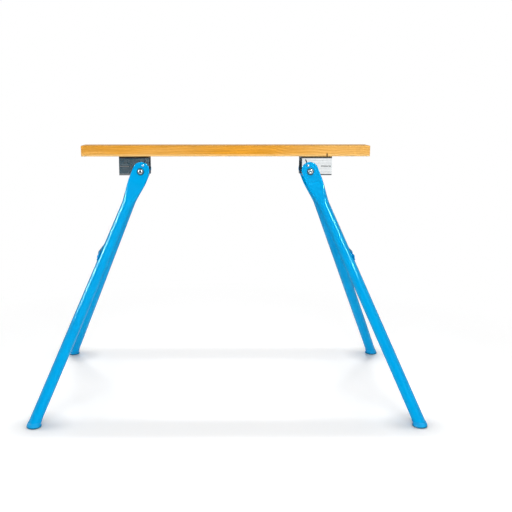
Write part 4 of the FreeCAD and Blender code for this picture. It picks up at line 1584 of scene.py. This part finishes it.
@dataclass
class Studio:
    """Floor, light and camera.

    Attributes:
        eye: Place of the camera.
        yaw: Angle that it is turned to the right.
        pitch: Angle that it looks down.
        roll: Angle that it is turned about its own axis.
        focal_pixels: Focal length in pixels of the picture.
        picture: Width of the picture in pixels.
        centre_column: Column of the picture that the camera points at.
        sensor: Width of the sensor in millimetres.
        ambient: Strength of the even light.
        floor_half: Half the floor's side.
        floor_level: Height of the floor, a little under the soles.
        floor_colour: Its colour.
        floor_roughness: Its roughness.
        floor_gleam: Specular level of its gloss.
        floor_glow: Strength of the white glow that only shows on the floor itself.
        contact_reach: Distance from the pieces within which the glow fades.
        contact_power: Power that it fades by.
        white: Distances from the middle where the floor starts to fade to white and where it is white.
    """

    eye: Vector = field(default_factory=lambda: Vector((-0.059, -2.428, 0.9255)))
    yaw: float = math.radians(0.23)
    pitch: float = math.radians(11.09)
    roll: float = math.radians(-0.03)
    focal_pixels: float = 748.4
    picture: float = 512.0
    centre_column: float = 210.0
    sensor: float = 36.0
    ambient: float = 0.30
    floor_half: float = 9.0
    floor_level: float = -0.0004
    floor_colour: Colour = (0.94, 0.94, 0.94)
    floor_roughness: float = 0.9
    floor_gleam: float = 0.1
    floor_glow: float = 0.31
    contact_reach: float = 0.09
    contact_power: float = 6.0
    white: Pair = (0.9, 1.6)

    def camera(self) -> None:
        """Set the camera: turned right by yaw, down by pitch, with the picture's centre moved sideways."""
        data = bpy.data.cameras.new("photo_camera")
        data.sensor_width = self.sensor
        data.lens = self.focal_pixels / self.picture * self.sensor
        data.shift_x = 0.5 - self.centre_column / self.picture
        camera = link_object("photo_camera", data)
        turn = Matrix.Rotation(-self.yaw, 4, "Z") @ Matrix.Rotation(math.pi / 2 - self.pitch, 4, "X")
        camera.matrix_world = Matrix.Translation(self.eye) @ turn @ Matrix.Rotation(self.roll, 4, "Z")
        bpy.context.scene.camera = camera

    @staticmethod
    def seen_directly(graph: Graph) -> Socket:
        """1 for rays that show the background itself, straight or in a gloss or glass."""
        rays = graph.add("LightPath").outputs
        return graph.most(rays["Is Camera Ray"], rays["Is Glossy Ray"], rays["Is Transmission Ray"])

    def world(self) -> None:
        """Even light all round, seen as white."""
        world = bpy.data.worlds.new("studio")
        bpy.context.scene.world = world
        world.use_nodes = True
        graph = Graph(world.node_tree)
        background = world.node_tree.nodes["Background"]
        background.inputs["Color"].default_value = WHITE
        strength = graph.band(self.seen_directly(graph), 0.0, 1.0, self.ambient, 1.0)
        graph.feed(background.inputs["Strength"], strength)

    @staticmethod
    def panel(name: str, corners: list[Triple], colour: Colour, roughness: float) -> bpy.types.Object:
        """Make a flat four-sided panel.

        Args:
            name: Name of the panel and of its material.
            corners: Its corners, in order round it.
            colour: Its colour.
            roughness: Its roughness.

        Returns:
            The panel.
        """
        mesh = bpy.data.meshes.new(name)
        mesh.from_pydata(corners, [], [(0, 1, 2, 3)])
        material = bpy.data.materials.new(name)
        material.use_nodes = True
        shader = material.node_tree.nodes["Principled BSDF"]
        shader.inputs["Base Color"].default_value = (*colour, 1.0)
        shader.inputs["Roughness"].default_value = roughness
        mesh.materials.append(material)
        return link_object(name, mesh)

    def floor(self) -> None:
        """A pale floor that takes shadows, fades to white further out and is clear from below.

        The glow fades close to the pieces, so that shade is left where they stand.
        """
        half, level = self.floor_half, self.floor_level
        corners = [(-half, -half, level), (half, -half, level), (half, half, level), (-half, half, level)]
        floor = self.panel("floor", corners, self.floor_colour, self.floor_roughness)
        tree = floor.data.materials[0].node_tree
        graph, shader = Graph(tree), tree.nodes["Principled BSDF"]
        shader.inputs["Specular IOR Level"].default_value = self.floor_gleam
        direct = self.seen_directly(graph)
        away = graph.length(graph.add("TexCoord").outputs["Object"])
        far = graph.times(graph.band(away, *self.white), direct)
        white = graph.add("Emission", {"Color": WHITE, "Strength": 1.0})
        uncovered = graph.add("AmbientOcclusion", {"Distance": self.contact_reach}).outputs["AO"]
        fade = graph.math("POWER", uncovered, self.contact_power)
        glow = graph.add("Emission", {"Strength": graph.times(fade, self.floor_glow, direct)})
        lit = graph.add("AddShader", {0: shader.outputs[0], 1: glow.outputs[0]})
        above = graph.add("MixShader", {0: far, 1: lit.outputs[0], 2: white.outputs[0]})
        from_below = graph.add("NewGeometry").outputs["Backfacing"]
        nothing = graph.add("BsdfTransparent")
        both = graph.add("MixShader", {0: from_below, 1: above.outputs[0], 2: nothing.outputs[0]})
        graph.feed(tree.nodes["Material Output"].inputs["Surface"], both.outputs[0])

    @staticmethod
    def lamp(name: str, place: Vector, target: Vector, size: Pair, watts: float,
             upright: Vector = Vector((0, 0, 1)), lit_in_gloss: bpy.types.Collection | None = None) -> None:
        """Set a soft box.

        Args:
            name: Name of the lamp.
            place: Its middle.
            target: The point that it faces.
            size: Its width, and its height along the upright.
            watts: Its power.
            upright: Direction that its height is turned to.
            lit_in_gloss: The pieces whose gloss it shows in. Without them it gives plain light to everything.
        """
        data = bpy.data.lights.new(name, "AREA")
        data.shape = "RECTANGLE"
        data.size, data.size_y = size
        data.energy = watts
        lamp = link_object(name, data)
        back = (place - target).normalized()
        side = upright.cross(back).normalized()
        turn = Matrix((side, back.cross(side), back)).transposed().to_4x4()
        lamp.matrix_world = Matrix.Translation(place) @ turn
        lamp.visible_camera = False
        lamp.visible_glossy, lamp.visible_diffuse = lit_in_gloss is not None, lit_in_gloss is None
        lamp.light_linking.receiver_collection = lit_in_gloss

    def lamps(self) -> None:
        """A broad box behind the camera, two long boxes overhead, and a strip at each side for the tubes.

        The boxes overhead stand in front and behind, so that the beam's shadows lie along the two rows of feet.
        """
        self.lamp("front_box", Vector((0.2, -3.2, 0.95)), Vector((0, 0, 0.4)), size=(1.8, 1.2), watts=54)
        for depth, away, watts in ((Depth.FRONT, 1.36, 27), (Depth.REAR, 1.44, 46)):
            self.lamp(f"{depth.word}_top_box", Vector((0, away * depth.value, 4.0)), Vector((0, 0, 0.8)),
                      size=(1.2, 0.15), watts=watts)
        glossy = bpy.data.collections.new("metal_pieces")
        for piece in bpy.context.scene.objects:
            if piece.type == "MESH" and PINE.name not in [material.name for material in piece.data.materials]:
                glossy.objects.link(piece)
        for strip in STRIPS:
            low, high = Vector(strip.low), Vector(strip.high)
            target = Vector((0.4 * strip.end.value, -0.2, 0.5))
            self.lamp(f"{strip.end.word}_strip", (low + high) / 2, target, (strip.width, (high - low).length),
                      strip.watts, upright=high - low, lit_in_gloss=glossy)

    def cards(self) -> None:
        """Stand dark cards that are seen only in gloss.

        The left bracket's face mirrors the one beside the camera. The one behind darkens the tubes' edges.
        """
        cards = (
            ("front_card", (-3.0, 0.05), (-0.6, 1.7), -3.0, (0.0, 0.046, 0.076)),
            ("back_card", (-1.2, 1.2), (0.0, 1.0), 0.62, (0.13, 0.17, 0.20)),
        )
        for name, (left, right), (low, high), depth, colour in cards:
            corners = [(left, depth, low), (right, depth, low), (right, depth, high), (left, depth, high)]
            card = self.panel(name, corners, colour, 1.0)
            card.visible_camera = card.visible_diffuse = card.visible_shadow = card.visible_transmission = False

    def build(self) -> None:
        """Set the floor, the light, the colour transform and the camera."""
        bpy.context.scene.view_settings.view_transform = "Standard"
        self.world()
        self.floor()
        self.lamps()
        self.cards()
        self.camera()


def main() -> None:
    """Build the sawhorse and its studio."""
    logging.basicConfig(level=logging.INFO, format="%(name)s %(message)s")
    Beam().build()
    for end in End:
        Bracket(end).build()
        legs = LegFrame(end)
        legs.build()
        for depth in Depth:
            Pivot(end, depth).build(legs.pivot)
    Studio().build()


if __name__ == "__main__":
    main()
